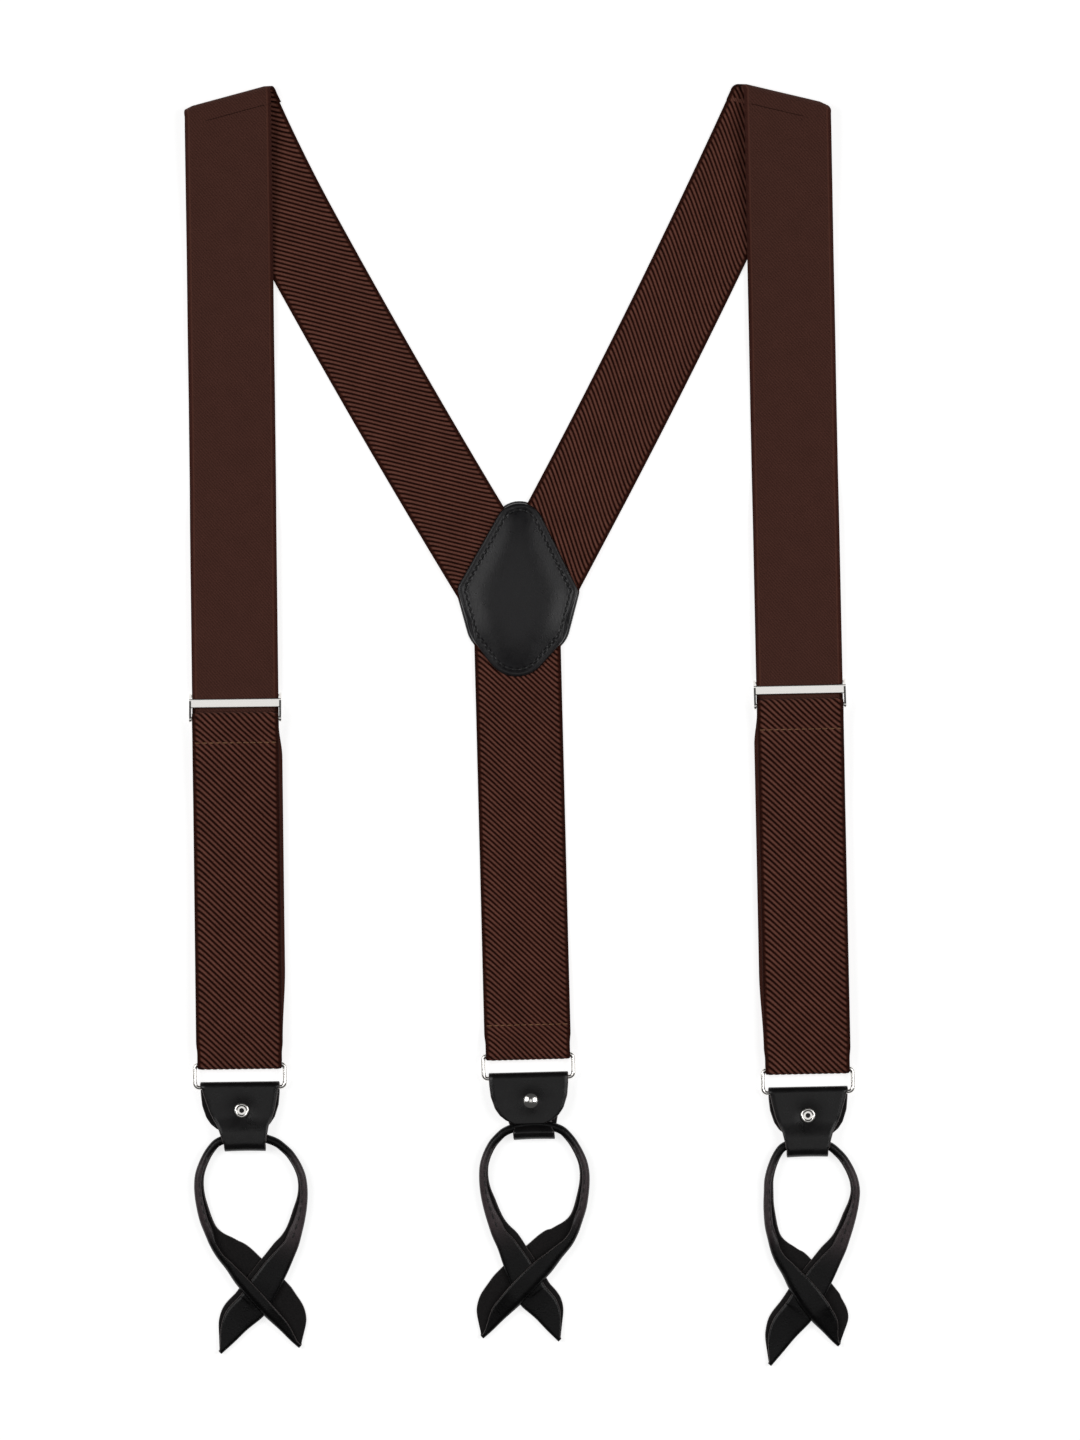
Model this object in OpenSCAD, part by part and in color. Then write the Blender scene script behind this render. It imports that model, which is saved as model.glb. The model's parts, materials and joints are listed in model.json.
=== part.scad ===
// Y-back suspenders laid flat: elastic webbing, a stitched leather back patch,
// two lever adjusters and three ring-hung leather tabs with rolled button loops.
// +Z is up off the table, +Y runs towards the shoulders, and the origin is on the
// table under the middle of the back patch. Index 0 is left, 1 is right, 2 is back.

/* [Webbing] */
// Width of the elastic webbing
webbing_w = 35; // [34:0.5:35]
// Thickness of the webbing
webbing_t = 1.3; // [1.1:0.1:1.3]
// Radius of the soft shoulder bend, at the middle of the webbing
shoulder_bend_r = 2.85; // [2.7:0.05:2.85]

/* [Layout] */
// Distance from the middle of the patch down to where the two back runs meet
junction_drop = 9.6; // [9:0.1:10]
// Length of the left back run, from the junction to the shoulder
left_back_len = 236.8; // [232:0.1:240]
// Length of the right back run, from the junction to the shoulder
right_back_len = 233.6; // [230:0.1:238]
// Angle of the left back run from the centre line
left_back_lean = 29.7; // [28:0.1:31]
// Angle of the right back run from the centre line
right_back_lean = 27.8; // [26:0.1:29]
// Distance from the left shoulder to its adjuster bar
left_adjuster_drop = 242; // [238:0.5:246]
// Distance from the right shoulder to its adjuster bar
right_adjuster_drop = 237.5; // [234:0.5:246]
// Distance from the left shoulder to its ring
left_ring_drop = 388; // [384:0.5:394]
// Distance from the right shoulder to its ring
right_ring_drop = 391; // [386:0.5:394]
// Distance from the junction to the back ring
back_ring_drop = 178.5; // [174:0.5:182]

/* [Back patch] */
// Thickness of the leather backing
backing_t = 1.2; // [1:0.1:1.2]
// Height of the domed face leather at its middle
face_dome = 2; // [1.8:0.1:2.4]
// Distance of the stitch line from the patch's edge
patch_seam_inset = 3.7; // [3:0.1:4.5]
// Stitch length of the patch's seam
patch_stitch = 3; // [2.8:0.1:3.6]

/* [Metal fittings] */
// Wire radius of the rings and hem bars
wire_r = 0.9; // [0.8:0.05:0.9]
// Distance between a ring's two bars
ring_pitch = 9.4; // [9:0.1:10]
// Height of an adjuster's cross bar along the strap
bar_h = 3.8; // [3.4:0.1:4]
// Length of an adjuster's lever plate, from its pin
lever_len = 18; // [14:0.5:20]
// Number of teeth on a lever
tooth_count = 9; // [5:1:11]

/* [Leather ends] */
// Thickness of the tab leather
tab_t = 1.4; // [1.2:0.1:1.4]
// Half width of a tab where it wraps its ring
tab_half_w = 16; // [15:0.1:16]
// Radius of the rolled button loop leather
roll_r = 1.75; // [1.6:0.05:1.75]
// Thickness of the flat button leaves
leaf_t = 1.4; // [1.2:0.1:1.4]
// Radius of the round end of a buttonhole
button_eye_r = 2.2; // [2:0.1:2.4]

/* [Hidden] */
SIDES = ["left", "right", "back"];
PIECES = ["front_webbing", "lower_webbing", "ring_webbing", "return_webbing", "hem_webbing",
    "hem_thread", "adjuster_frame", "adjuster_lever", "lever_pin", "fold_webbing", "back_webbing"];
ENDS = ["ring", "tab", "rivet", "loop", "loop_core", "loop_thread"];
$fn = 48;

webbing_colour = "#4a2a20";
leather_colour = "#141416";
metal_colour = "#d8d8da";
thread_colour = "#6a4020";
dark_thread_colour = "#0c0c0e";

// layout of the runs
junction = [0, -junction_drop];
back_lean = [left_back_lean, -right_back_lean];
back_len = [left_back_len, right_back_len];
run_tilt = [0.7, 1.2, 1.45];
adjuster_drop = [left_adjuster_drop, right_adjuster_drop];
ring_drop = [left_ring_drop, right_ring_drop, back_ring_drop];
function crease(i) = junction + back_len[i] * [-sin(back_lean[i]), cos(back_lean[i])];
function crease_angle(i) = (back_lean[i] + run_tilt[i]) / 2;
function fold_w(i) = webbing_w / cos(back_lean[i] - crease_angle(i));
run_start = [crease(0), crease(1), junction + [-0.5, 0]];

// levels above the table, at the middle of a thickness unless named otherwise
half_t = webbing_t / 2;
bend_out_r = shoulder_bend_r + half_t;
fold_top_z = 2 * bend_out_r - half_t;
chain_z = 3.5;
strap_z = 3.05;
hem_bar_z = 6.2;
patch_web_z = backing_t + 0.05 + half_t;
face_z = patch_web_z + half_t + 0.05;
layer_gap = 0.05;

// cuts and clearances
reach = 400;
cut_h = 30;
running_gap = 0.06;
side_gap = 0.3;
ring_web_w = webbing_w - 1.2;
ring_web_r = wire_r + 0.25 + half_t;
tail_w = webbing_w - 1;

// back patch, as the circles that its outline runs round
patch_corners = [[0, 28, 8], [-17, 1.5, 8], [0, -27.5, 9], [17, 1.5, 8]];
dome_r = 330;
dome_reach = 39;

// adjuster
bar_t = 1.4;
cheek_t = 0.8;
cheek_x = webbing_w / 2 + side_gap;
bar_low_z = strap_z + half_t + 0.3;
hem_bar_y = -6.2;
hem_r = wire_r + 0.05 + half_t;
pin_y = 3;
pin_z = 1.15;
pin_r = 0.6;
barrel_r = 1.05;
lever_t = 0.9;
lever_w = webbing_w - 1.4;
seam_below_bar = 15;
hem_tail = 22;
hem_pinch = 3;
return_start_z = hem_bar_z - hem_r + webbing_t + layer_gap;

// where the front webbing is split so that its lower run can change length
split_below_bar = 28;
ring_web_len = 9;

// where the webbing comes down from under the patch and where the back hem starts
back_ramp_from = 41;
back_ramp_len = 13;
centre_ramp_from = 28;
centre_lift_len = 60;
centre_seam = 12;
centre_top_z = 3 * half_t + 0.15;

// rings
ring_half_w = ring_web_w / 2 + 0.4 + wire_r;
ring_corner_r = 1.8;

// tabs: the wrap round the ring, the neck round the roll, and the rivet
wrap_in_r = wire_r + 0.1;
wrap_out_r = wrap_in_r + tab_t;
neck_half_w = 8;
neck_gap_r = roll_r + 0.3;
neck_out_r = neck_gap_r + 1.2;
neck_drop = [22.7, 22.7, 20.8];
neck_shift = [1.6, -0.7, 1.5];
neck_span = 40;
tab_tail_t = 1.8;
rivet_drop = 9.3;
rivet_r = 1.5;
rivet_head_r = 3.1;
rivet_head_h = 1;
rivet_sink = 0.6;
rivet_roll_r = 0.7;
rivet_bore_r = 1;

// button loops: arc radius, sideways shift, lean, and which arm lies on top
loop_r = [21, 18.2, 20.3];
loop_shift = [4.4, 0.9, 1.8];
loop_lean = [3, -2.7, -5.4];
loop_top_arm = [1, 1, -1];
core_r = 0.9;
leaf_low_z = 0.1;
leaf_high_z = 1.8;
leaf_tip = [15.5, -64.5];
leaf_half_w = 6.4;
eye_at = 0.83;
slit_len = 10;
slit_w = 1.2;
stitch_r = 0.25;
stitch_len = 2.1;

function loop_centre(i) = [loop_shift[i], -ring_drop[i] - ring_pitch - neck_drop[i] - loop_r[i]];
function tunnel_turn(i) = 90 + asin((loop_shift[i] - neck_shift[i]) / loop_r[i]);

// a smooth step from 0 to 1
function ease(t) = let (u = min(max(t, 0), 1)) u * u * (3 - 2 * u);
function arc(centre, r, from, to, steps) =
    [for (k = [0:steps]) let (a = from + (to - from) * k / steps) centre + r * [cos(a), sin(a)]];
function heading(p, k) = let (d = p[min(k + 1, len(p) - 1)] - p[max(k - 1, 0)]) d / norm(d);
function beside(p, off) = [for (k = [0:len(p) - 1]) let (h = heading(p, k)) p[k] + off * [-h[1], h[0]]];
function backwards(p) = [for (k = [len(p) - 1:-1:0]) p[k]];

// the outline round a ring of circles [x, y, r], listed anticlockwise
function tangent(a, b) = let (d = [b[0] - a[0], b[1] - a[1]])
    atan2(d[1], d[0]) - 90 + asin((a[2] - b[2]) / norm(d));
function turn_up(from, to) =
    to < from ? turn_up(from, to + 360) : (to - from > 360 ? turn_up(from, to - 360) : to);
function round_outline(circles, steps = 8) = [for (k = [0:len(circles) - 1])
    let (c = circles[k],
        before = circles[(k + len(circles) - 1) % len(circles)],
        after = circles[(k + 1) % len(circles)],
        from = tangent(before, c),
        to = turn_up(from, tangent(c, after)))
    for (p = arc([c[0], c[1]], c[2], from, to, steps)) p];
function inset(circles, by) = [for (c = circles) [c[0], c[1], c[2] - by]];

// the point a distance along a closed outline
function edge_len(p, k) = norm(p[(k + 1) % len(p)] - p[k]);
function perimeter(p, k = 0) = k == len(p) ? 0 : edge_len(p, k) + perimeter(p, k + 1);
function walk(p, s, k = 0) = s <= edge_len(p, k) || k == len(p) - 1
    ? let (d = p[(k + 1) % len(p)] - p[k], u = d / max(norm(d), 0.001)) [p[k] + s * u, atan2(u[1], u[0])]
    : walk(p, s - edge_len(p, k), k + 1);

// webbing of one width along a path of [along, up] points
module ribbon(path, width = webbing_w, thick = webbing_t)
    rotate([90, 0, 90])
        translate([0, 0, -width / 2])
            linear_extrude(width)
                polygon(concat(beside(path, thick / 2), backwards(beside(path, -thick / 2))));

module across(length, r)
    rotate([0, 90, 0])
        cylinder(h = length, r = r, center = true);

module on_run(i) translate([run_start[i][0], run_start[i][1], 0]) rotate([0, 0, run_tilt[i]]) children();
module at_adjuster(i) on_run(i) translate([0, -adjuster_drop[i], 0]) children();
module at_ring(i) on_run(i) translate([0, -ring_drop[i], 0]) children();
module at_loop(i) on_run(i) translate([loop_centre(i)[0], loop_centre(i)[1], 0]) children();

// everything on the object's side of a shoulder crease
module behind_crease(i)
    intersection() {
        children();
        translate([crease(i)[0], crease(i)[1], 0])
            rotate([0, 0, crease_angle(i)])
                translate([-reach / 2, -reach - 100, -1])
                    cube([reach, reach + 100, cut_h]);
    }

// ---- back patch ----
module patch_backing()
    color(leather_colour)
        linear_extrude(backing_t)
            polygon(round_outline(patch_corners));

module patch_face()
    color(leather_colour)
        intersection() {
            translate([0, 0, face_z])
                linear_extrude(face_dome + 1)
                    polygon(round_outline(inset(patch_corners, 0.8)));
            rotate_extrude()
                polygon(concat([[0, 0]], [for (x = [0:3:dome_reach]) [x, dome_z(x)]], [[dome_reach, 0]]));
        }

function dome_z(p) = face_z + face_dome - dome_r + sqrt(dome_r * dome_r - p * p);

module patch_thread() {
    seam = round_outline(inset(patch_corners, patch_seam_inset));
    count = floor(perimeter(seam) / patch_stitch);
    step = perimeter(seam) / count;
    color(dark_thread_colour)
        for (k = [0:count - 1]) {
            spot = walk(seam, k * step);
            translate([spot[0][0], spot[0][1], dome_z(spot[0]) + stitch_r + 0.03])
                rotate([0, 0, spot[1]])
                    across(stitch_len, stitch_r);
        }
}

// ---- webbing of the back ----
function back_level(d) = patch_web_z + (half_t - patch_web_z) * ease((d - back_ramp_from) / back_ramp_len);

module side_back_webbing(i) {
    ramp = [for (d = [36:2:54]) [d, back_level(d)]];
    path = concat([[-12, patch_web_z]], ramp, [[back_len[i] + 20, half_t]]);
    clear_x = 0.15;
    color(webbing_colour)
        behind_crease(i)
            intersection() {
                translate([junction[0], junction[1], 0])
                    rotate([0, 0, back_lean[i]])
                        ribbon(path);
                // both runs are cut on the centre line, above the centre webbing's end
                translate([i == 0 ? -reach - clear_x : clear_x, junction[1] + 1, 0])
                    cube([reach, reach, cut_h]);
            }
}

module fold_webbing(i)
    color(webbing_colour)
        translate([crease(i)[0], crease(i)[1], bend_out_r])
            rotate([0, 0, crease_angle(i)])
                rotate([0, 90, 0])
                    rotate_extrude(angle = 180)
                        translate([shoulder_bend_r - half_t, -fold_w(i) / 2])
                            square([webbing_t, fold_w(i)]);

module centre_webbing() {
    d = ring_drop[2];
    run = concat(
        [[0, patch_web_z]],
        [for (s = [26:2:44])
            [-s, patch_web_z + (half_t - patch_web_z) * ease((s - centre_ramp_from) / back_ramp_len)]],
        [for (s = [d - centre_lift_len:5:d - 20])
            [-s, half_t + (centre_top_z - half_t) * ease((s - d + centre_lift_len) / 36)]],
        [[-(d - 14), centre_top_z], [-(d - ring_web_len - 1), centre_top_z + 0.5]]);
    ring_wrap = concat(
        [[-(d - ring_web_len - 1), centre_top_z + 0.5], [-(d - 5), chain_z + ring_web_r - 0.5]],
        arc([-d, chain_z], ring_web_r, 90, 270, 12),
        [[-(d - 5), chain_z - ring_web_r - 0.35], [-(d - 10), half_t + 0.1], [-(d - 15), half_t + 0.02]]);
    color(webbing_colour)
        on_run(2) {
            ribbon(run);
            ribbon(ring_wrap, ring_web_w);
        }
}

module centre_hem_thread()
    color(thread_colour)
        on_run(2)
            translate([0, -ring_drop[2] + centre_seam, centre_top_z + half_t + stitch_r + 0.25])
                seam_row();

module seam_row(span = 30, pitch = 2.5)
    for (x = [-span / 2:pitch:span / 2])
        translate([x, 0, 0])
            across(stitch_len - 0.2, stitch_r);

// ---- webbing of the fronts ----
module front_webbing(i) {
    flat_from = adjuster_drop[i] - 66;
    on_back_z = 3 * half_t + 0.65;
    path = concat(
        [[20, fold_top_z]],
        [for (s = [8:6:74]) [-s, fold_top_z + (on_back_z - fold_top_z) * ease((s - 8) / 62)]],
        [for (s = [92:5:122]) [-s, on_back_z + (half_t - on_back_z) * ease((s - 92) / 28)]],
        [for (s = [flat_from - 26:4:flat_from + 2])
            [-s, half_t + (strap_z - half_t) * ease((s - flat_from + 26) / 26)]],
        [[-adjuster_drop[i] - split_below_bar, strap_z]]);
    color(webbing_colour)
        behind_crease(i)
            on_run(i)
                ribbon(path);
}

module lower_webbing(i) {
    from = adjuster_drop[i] + split_below_bar;
    to = ring_drop[i] - ring_web_len;
    low = chain_z - ring_web_r;
    path = [for (k = [0:16]) [-(from + (to - from) * k / 16), strap_z + (low - strap_z) * ease((k - 1) / 12)]];
    color(webbing_colour)
        on_run(i)
            ribbon(path);
}

module ring_webbing(i) {
    d = ring_drop[i];
    path = concat(
        [[-(d - ring_web_len), chain_z - ring_web_r]],
        arc([-d, chain_z], ring_web_r, 270, 90, 12),
        [[-(d - ring_web_len), chain_z + ring_web_r]]);
    color(webbing_colour)
        on_run(i)
            ribbon(path, ring_web_w);
}

module return_webbing(i) {
    from = adjuster_drop[i] + hem_tail;
    to = ring_drop[i] - ring_web_len;
    high = chain_z + ring_web_r;
    resting_z = strap_z + webbing_t + 0.2;
    path = [for (k = [0:24]) let (s = from + (to - from) * k / 24)
        [-s, return_start_z + (resting_z - return_start_z) * ease((k - 1) / 5)
            + (high - resting_z) * ease((k - 8) / 15)]];
    color(webbing_colour)
        on_run(i)
            ribbon(path, tail_w);
}

// ---- adjusters ----
module hem_webbing(i) {
    low = hem_bar_z - hem_r;
    path = concat(
        [[-(hem_tail - 2), low], [hem_bar_y - hem_pinch, low]],
        [for (a = [270:15:450]) [hem_bar_y + hem_r * cos(a), hem_bar_z + hem_r * sin(a)]],
        [[hem_bar_y - hem_pinch, hem_bar_z + hem_r - 0.4], [-(seam_below_bar - 2), return_start_z + 0.35],
            [-seam_below_bar, return_start_z], [-hem_tail, return_start_z]]);
    color(webbing_colour)
        at_adjuster(i)
            ribbon(path, tail_w);
}

module hem_thread(i)
    color(thread_colour)
        at_adjuster(i)
            translate([0, -seam_below_bar - 1, return_start_z + half_t + stitch_r + 0.06])
                seam_row();

module adjuster_frame(i) {
    bar = [[bar_h / 2 - 0.5, bar_low_z + 0.5, 0.5], [bar_h / 2 - 0.5, bar_low_z + bar_t - 0.5, 0.5],
        [-bar_h / 2 + 0.5, bar_low_z + bar_t - 0.5, 0.5], [-bar_h / 2 + 0.5, bar_low_z + 0.5, 0.5]];
    cheek = [[pin_y, pin_z, 1.05], [0.9, bar_low_z + bar_t - 1, 1], [hem_bar_y, hem_bar_z, 1.4],
        [hem_bar_y - 0.3, hem_bar_z - 1.8, 1]];
    width = 2 * (cheek_x + cheek_t);
    color(metal_colour)
        at_adjuster(i) {
            rotate([90, 0, 90])
                translate([0, 0, -width / 2])
                    linear_extrude(width)
                        polygon(round_outline(bar));
            difference() {
                for (x = [-width / 2, cheek_x])
                    translate([x, 0, 0])
                        rotate([90, 0, 90])
                            linear_extrude(cheek_t)
                                polygon(round_outline(cheek));
                translate([0, pin_y, pin_z])
                    across(width + 2, pin_r + 0.01);
            }
            translate([0, hem_bar_y, hem_bar_z])
                across(width - 0.2, wire_r);
        }
}

module lever_pin(i)
    color(metal_colour)
        at_adjuster(i)
            translate([0, pin_y, pin_z])
                across(2 * (cheek_x + cheek_t), pin_r);

module adjuster_lever(i) {
    plate = [[lever_w / 2 - 2, pin_y - lever_len + 2, 2], [lever_w / 2 - 0.5, pin_y - 0.5, 0.5],
        [-lever_w / 2 + 0.5, pin_y - 0.5, 0.5], [-lever_w / 2 + 2, pin_y - lever_len + 2, 2]];
    tooth_h = strap_z - half_t - 0.25 - lever_t;
    tooth_pitch = 3.4;
    color(metal_colour)
        at_adjuster(i) {
            difference() {
                union() {
                    translate([0, 0, 0.05])
                        linear_extrude(lever_t)
                            polygon(round_outline(plate));
                    translate([0, pin_y, pin_z])
                        across(lever_w, barrel_r);
                }
                translate([0, pin_y, pin_z])
                    across(webbing_w, pin_r + running_gap);
            }
            for (k = [0:tooth_count - 1])
                translate([(k - (tooth_count - 1) / 2) * tooth_pitch, -0.8, lever_t - 0.05])
                    cylinder(h = tooth_h + 0.05, r1 = 0.75, r2 = 0.15, $fn = 24);
        }
}

// ---- ends ----
module ring(i) {
    straight_x = ring_half_w - ring_corner_r;
    straight_y = ring_pitch / 2 - ring_corner_r;
    color(metal_colour)
        at_ring(i)
            translate([0, -ring_pitch / 2, chain_z]) {
                for (y = [-1, 1])
                    translate([0, y * ring_pitch / 2, 0])
                        across(2 * straight_x, wire_r);
                for (x = [-1, 1])
                    translate([x * ring_half_w, 0, 0])
                        rotate([90, 0, 0])
                            cylinder(h = 2 * straight_y, r = wire_r, center = true);
                for (x = [0, 1], y = [0, 1])
                    mirror([x, 0, 0])
                        mirror([0, y, 0])
                            translate([straight_x, straight_y, 0])
                                rotate_extrude(angle = 90)
                                    translate([ring_corner_r, 0])
                                        circle(wire_r);
            }
}

// half width of the tapered tab leather at a distance below the ring's bar
function taper(drop) = neck_half_w + (tab_half_w - 0.8 - neck_half_w) * (1 - ease((drop - 2) / 18));

module tab(i) {
    up = i == 2 ? -1 : 1;
    bottom = neck_drop[i];
    slant = neck_shift[i] / bottom;
    drops = [for (k = [0:12]) bottom * k / 12];
    right = [for (d = drops) [taper(d) + slant * d, -d]];
    left = [for (d = drops) [-taper(d) + slant * d, -d]];
    tail = [[neck_half_w + neck_shift[i] - 1, -bottom], [6, -6], [-6, -6],
        [-neck_half_w + neck_shift[i] + 1, -bottom]];
    flap = [[tab_half_w - 10, -10.5, 10], [tab_half_w - 1, -1, 1], [-tab_half_w + 1, -1, 1],
        [-tab_half_w + 10, -10.5, 10]];
    rivet_x = slant * rivet_drop;
    color(leather_colour)
        on_run(i)
            difference() {
                union() {
                    translate([0, -ring_drop[i] - ring_pitch, chain_z])
                        mirror([0, 0, up == 1 ? 0 : 1]) {
                            translate([0, 0, wrap_in_r])
                                linear_extrude(tab_t)
                                    polygon(concat(backwards(left), right));
                            translate([0, 0, -wrap_out_r])
                                linear_extrude(tab_t)
                                    polygon(round_outline(flap));
                            rotate([0, 90, 0])
                                rotate_extrude(angle = 180)
                                    translate([wrap_in_r, -tab_half_w])
                                        square([tab_t, 2 * tab_half_w]);
                            translate([0, 0, -tab_tail_t / 2])
                                linear_extrude(tab_tail_t)
                                    polygon(tail);
                        }
                    translate([loop_centre(i)[0], loop_centre(i)[1], chain_z])
                        rotate([0, 0, tunnel_turn(i) - neck_span / 2])
                            rotate_extrude(angle = neck_span)
                                translate([loop_r[i], 0])
                                    circle(neck_out_r);
                }
                translate([loop_centre(i)[0], loop_centre(i)[1], chain_z])
                    rotate([0, 0, tunnel_turn(i) - neck_span])
                        rotate_extrude(angle = 2 * neck_span)
                            translate([loop_r[i], 0])
                                circle(neck_gap_r);
                translate([rivet_x, -ring_drop[i] - ring_pitch - rivet_drop, chain_z]) {
                    cylinder(h = cut_h, r = rivet_r + 0.01, center = true);
                    for (z = [0, 1])
                        mirror([0, 0, z])
                            translate([0, 0, wrap_out_r - rivet_sink])
                                cylinder(h = cut_h, r = rivet_head_r + 0.1);
                }
            }
}

module rivet(i) {
    seat = wrap_out_r - rivet_sink;
    cap_r = (rivet_head_r * rivet_head_r + rivet_head_h * rivet_head_h) / (2 * rivet_head_h);
    color(metal_colour)
        on_run(i)
            translate([neck_shift[i] / neck_drop[i] * rivet_drop,
                -ring_drop[i] - ring_pitch - rivet_drop, chain_z])
                mirror([0, 0, i == 2 ? 1 : 0])
                    difference() {
                        union() {
                            translate([0, 0, -seat])
                                cylinder(h = 2 * seat + rivet_roll_r, r = rivet_r);
                            intersection() {
                                translate([0, 0, -seat - rivet_head_h + cap_r])
                                    sphere(cap_r);
                                translate([0, 0, -seat - rivet_head_h - 1])
                                    cylinder(h = rivet_head_h + 1, r = rivet_head_r);
                            }
                            translate([0, 0, seat + rivet_roll_r])
                                rotate_extrude()
                                    translate([rivet_head_r - rivet_roll_r, 0])
                                        circle(rivet_roll_r);
                            translate([0, 0, seat])
                                cylinder(h = rivet_roll_r, r = rivet_head_r - rivet_roll_r);
                        }
                        translate([0, 0, -seat + 1])
                            cylinder(h = cut_h, r = rivet_bore_r);
                    }
}

// ---- button loops ----
// the middle line of a leaf, from the arm on the left down to its tip on the right
function leaf_at(i, t) = let (u = 1 - t)
    u * u * u * [-loop_r[i], 2] + 3 * u * u * t * [-loop_r[i], -20]
    + 3 * u * t * t * [6, -38] + t * t * t * leaf_tip;
function leaf_half(t) = (roll_r + (leaf_half_w - roll_r) * ease(t / 0.55))
    * (t < 0.72 ? 1 : sqrt(max(1 - pow((t - 0.72) / 0.281, 2), 0.004)));

module leaf(i) {
    steps = 28;
    middle = [for (k = [0:steps]) leaf_at(i, k / steps)];
    edge = function (way) [for (k = [0:steps]) let (h = heading(middle, k))
        middle[k] + way * leaf_half(k / steps) * [-h[1], h[0]]];
    eye = leaf_at(i, eye_at);
    way = leaf_at(i, eye_at) - leaf_at(i, eye_at - 0.1);
    difference() {
        linear_extrude(leaf_t)
            polygon(concat(edge(1), backwards(edge(-1))));
        translate([eye[0], eye[1], -1]) {
            cylinder(h = leaf_t + 2, r = button_eye_r);
            rotate([0, 0, atan2(way[1], way[0])])
                translate([-slit_len, -slit_w / 2, 0])
                    cube([slit_len, slit_w, leaf_t + 2]);
        }
    }
}

module loop(i)
    color(leather_colour)
        at_loop(i)
            rotate([0, 0, loop_lean[i]]) {
                translate([0, 0, chain_z])
                    difference() {
                        rotate_extrude(angle = 180)
                            translate([loop_r[i], 0])
                                circle(roll_r);
                        rotate([0, 0, 10])
                            rotate_extrude(angle = 160)
                                translate([loop_r[i], 0])
                                    circle(core_r + 0.05);
                    }
                for (x = [-1, 1])
                    translate([x * loop_r[i], 0, leaf_low_z])
                        cylinder(h = chain_z - leaf_low_z, r = roll_r);
                for (arm = [-1, 1])
                    mirror([arm == 1 ? 0 : 1, 0, 0])
                        translate([0, 0, arm == loop_top_arm[i] ? leaf_high_z : leaf_low_z])
                            leaf(i);
            }

module loop_core(i)
    color(thread_colour)
        at_loop(i)
            rotate([0, 0, loop_lean[i] + 10.5])
                translate([0, 0, chain_z])
                    rotate_extrude(angle = 159)
                        translate([loop_r[i], 0])
                            circle(core_r);

module loop_thread(i) {
    step = 8;
    color(dark_thread_colour)
        at_loop(i)
            for (a = [-1, 1], k = [0:4])
                rotate([0, 0, loop_lean[i] + 90 + a * (88 - k * step) - step / 4])
                    rotate_extrude(angle = step / 2)
                        translate([loop_r[i], chain_z + roll_r + stitch_r + 0.05])
                            circle(stitch_r, $fn = 16);
}

module side_piece(piece, i) {
    if (piece == "front_webbing") front_webbing(i);
    if (piece == "lower_webbing") lower_webbing(i);
    if (piece == "ring_webbing") ring_webbing(i);
    if (piece == "return_webbing") return_webbing(i);
    if (piece == "hem_webbing") hem_webbing(i);
    if (piece == "hem_thread") hem_thread(i);
    if (piece == "adjuster_frame") adjuster_frame(i);
    if (piece == "adjuster_lever") adjuster_lever(i);
    if (piece == "lever_pin") lever_pin(i);
    if (piece == "fold_webbing") fold_webbing(i);
    if (piece == "back_webbing") side_back_webbing(i);
}

module end_piece(piece, i) {
    if (piece == "ring") ring(i);
    if (piece == "tab") tab(i);
    if (piece == "rivet") rivet(i);
    if (piece == "loop") loop(i);
    if (piece == "loop_core") loop_core(i);
    if (piece == "loop_thread") loop_thread(i);
}

patch_face();
patch_backing();
patch_thread();
centre_webbing();
centre_hem_thread();
for (i = [0, 1], p = PIECES)
    side_piece(p, i);
for (i = [0, 1, 2], p = ENDS)
    end_piece(p, i);
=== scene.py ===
import json
import math

import bmesh
import bpy
import numpy as np
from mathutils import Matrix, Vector


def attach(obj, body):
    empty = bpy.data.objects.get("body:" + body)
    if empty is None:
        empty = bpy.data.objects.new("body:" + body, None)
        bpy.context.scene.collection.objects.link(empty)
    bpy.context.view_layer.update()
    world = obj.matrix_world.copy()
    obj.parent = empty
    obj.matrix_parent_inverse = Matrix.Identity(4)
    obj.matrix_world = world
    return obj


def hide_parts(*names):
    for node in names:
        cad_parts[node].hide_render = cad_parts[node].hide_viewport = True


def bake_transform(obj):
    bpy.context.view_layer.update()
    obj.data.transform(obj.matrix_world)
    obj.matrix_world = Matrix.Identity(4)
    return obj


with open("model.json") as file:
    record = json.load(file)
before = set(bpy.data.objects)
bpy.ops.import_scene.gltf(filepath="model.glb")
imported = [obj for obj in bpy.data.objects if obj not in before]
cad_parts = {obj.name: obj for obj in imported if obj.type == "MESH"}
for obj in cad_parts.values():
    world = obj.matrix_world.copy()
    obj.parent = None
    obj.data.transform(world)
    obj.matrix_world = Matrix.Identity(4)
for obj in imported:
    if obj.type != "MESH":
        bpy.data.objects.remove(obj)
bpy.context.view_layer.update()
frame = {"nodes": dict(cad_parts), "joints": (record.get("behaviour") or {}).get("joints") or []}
joints = {joint["name"]: joint for joint in frame["joints"]}
mm = 0.001
up = np.array([0.0, 0.0, 1.0])


# small helpers
def hexColour(code, alpha=1.0):
    channels = [int(code[i:i + 2], 16) / 255 for i in (1, 3, 5)]
    linear = [c / 12.92 if c <= 0.04045 else ((c + 0.055) / 1.055) ** 2.4 for c in channels]
    return (*linear, alpha)


def addNode(tree, kind, inputs=(), **settings):
    # a node with its settings, and links from nodes, sockets or plain values to its inputs
    node = tree.nodes.new(kind)
    for name, value in settings.items():
        setattr(node, name, value)
    for key, value in inputs.items() if isinstance(inputs, dict) else enumerate(inputs):
        if isinstance(value, bpy.types.Node):
            value = value.outputs[0]
        if isinstance(value, bpy.types.NodeSocket):
            tree.links.new(value, node.inputs[key])
        elif value is not None:
            node.inputs[key].default_value = value
    return node


def startMaterial(name, **values):
    material = bpy.data.materials.new(name)
    material.use_nodes = True
    shader = material.node_tree.nodes["Principled BSDF"]
    for key, value in values.items():
        shader.inputs[key.replace("_", " ")].default_value = value
    return material, material.node_tree, shader


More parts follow.
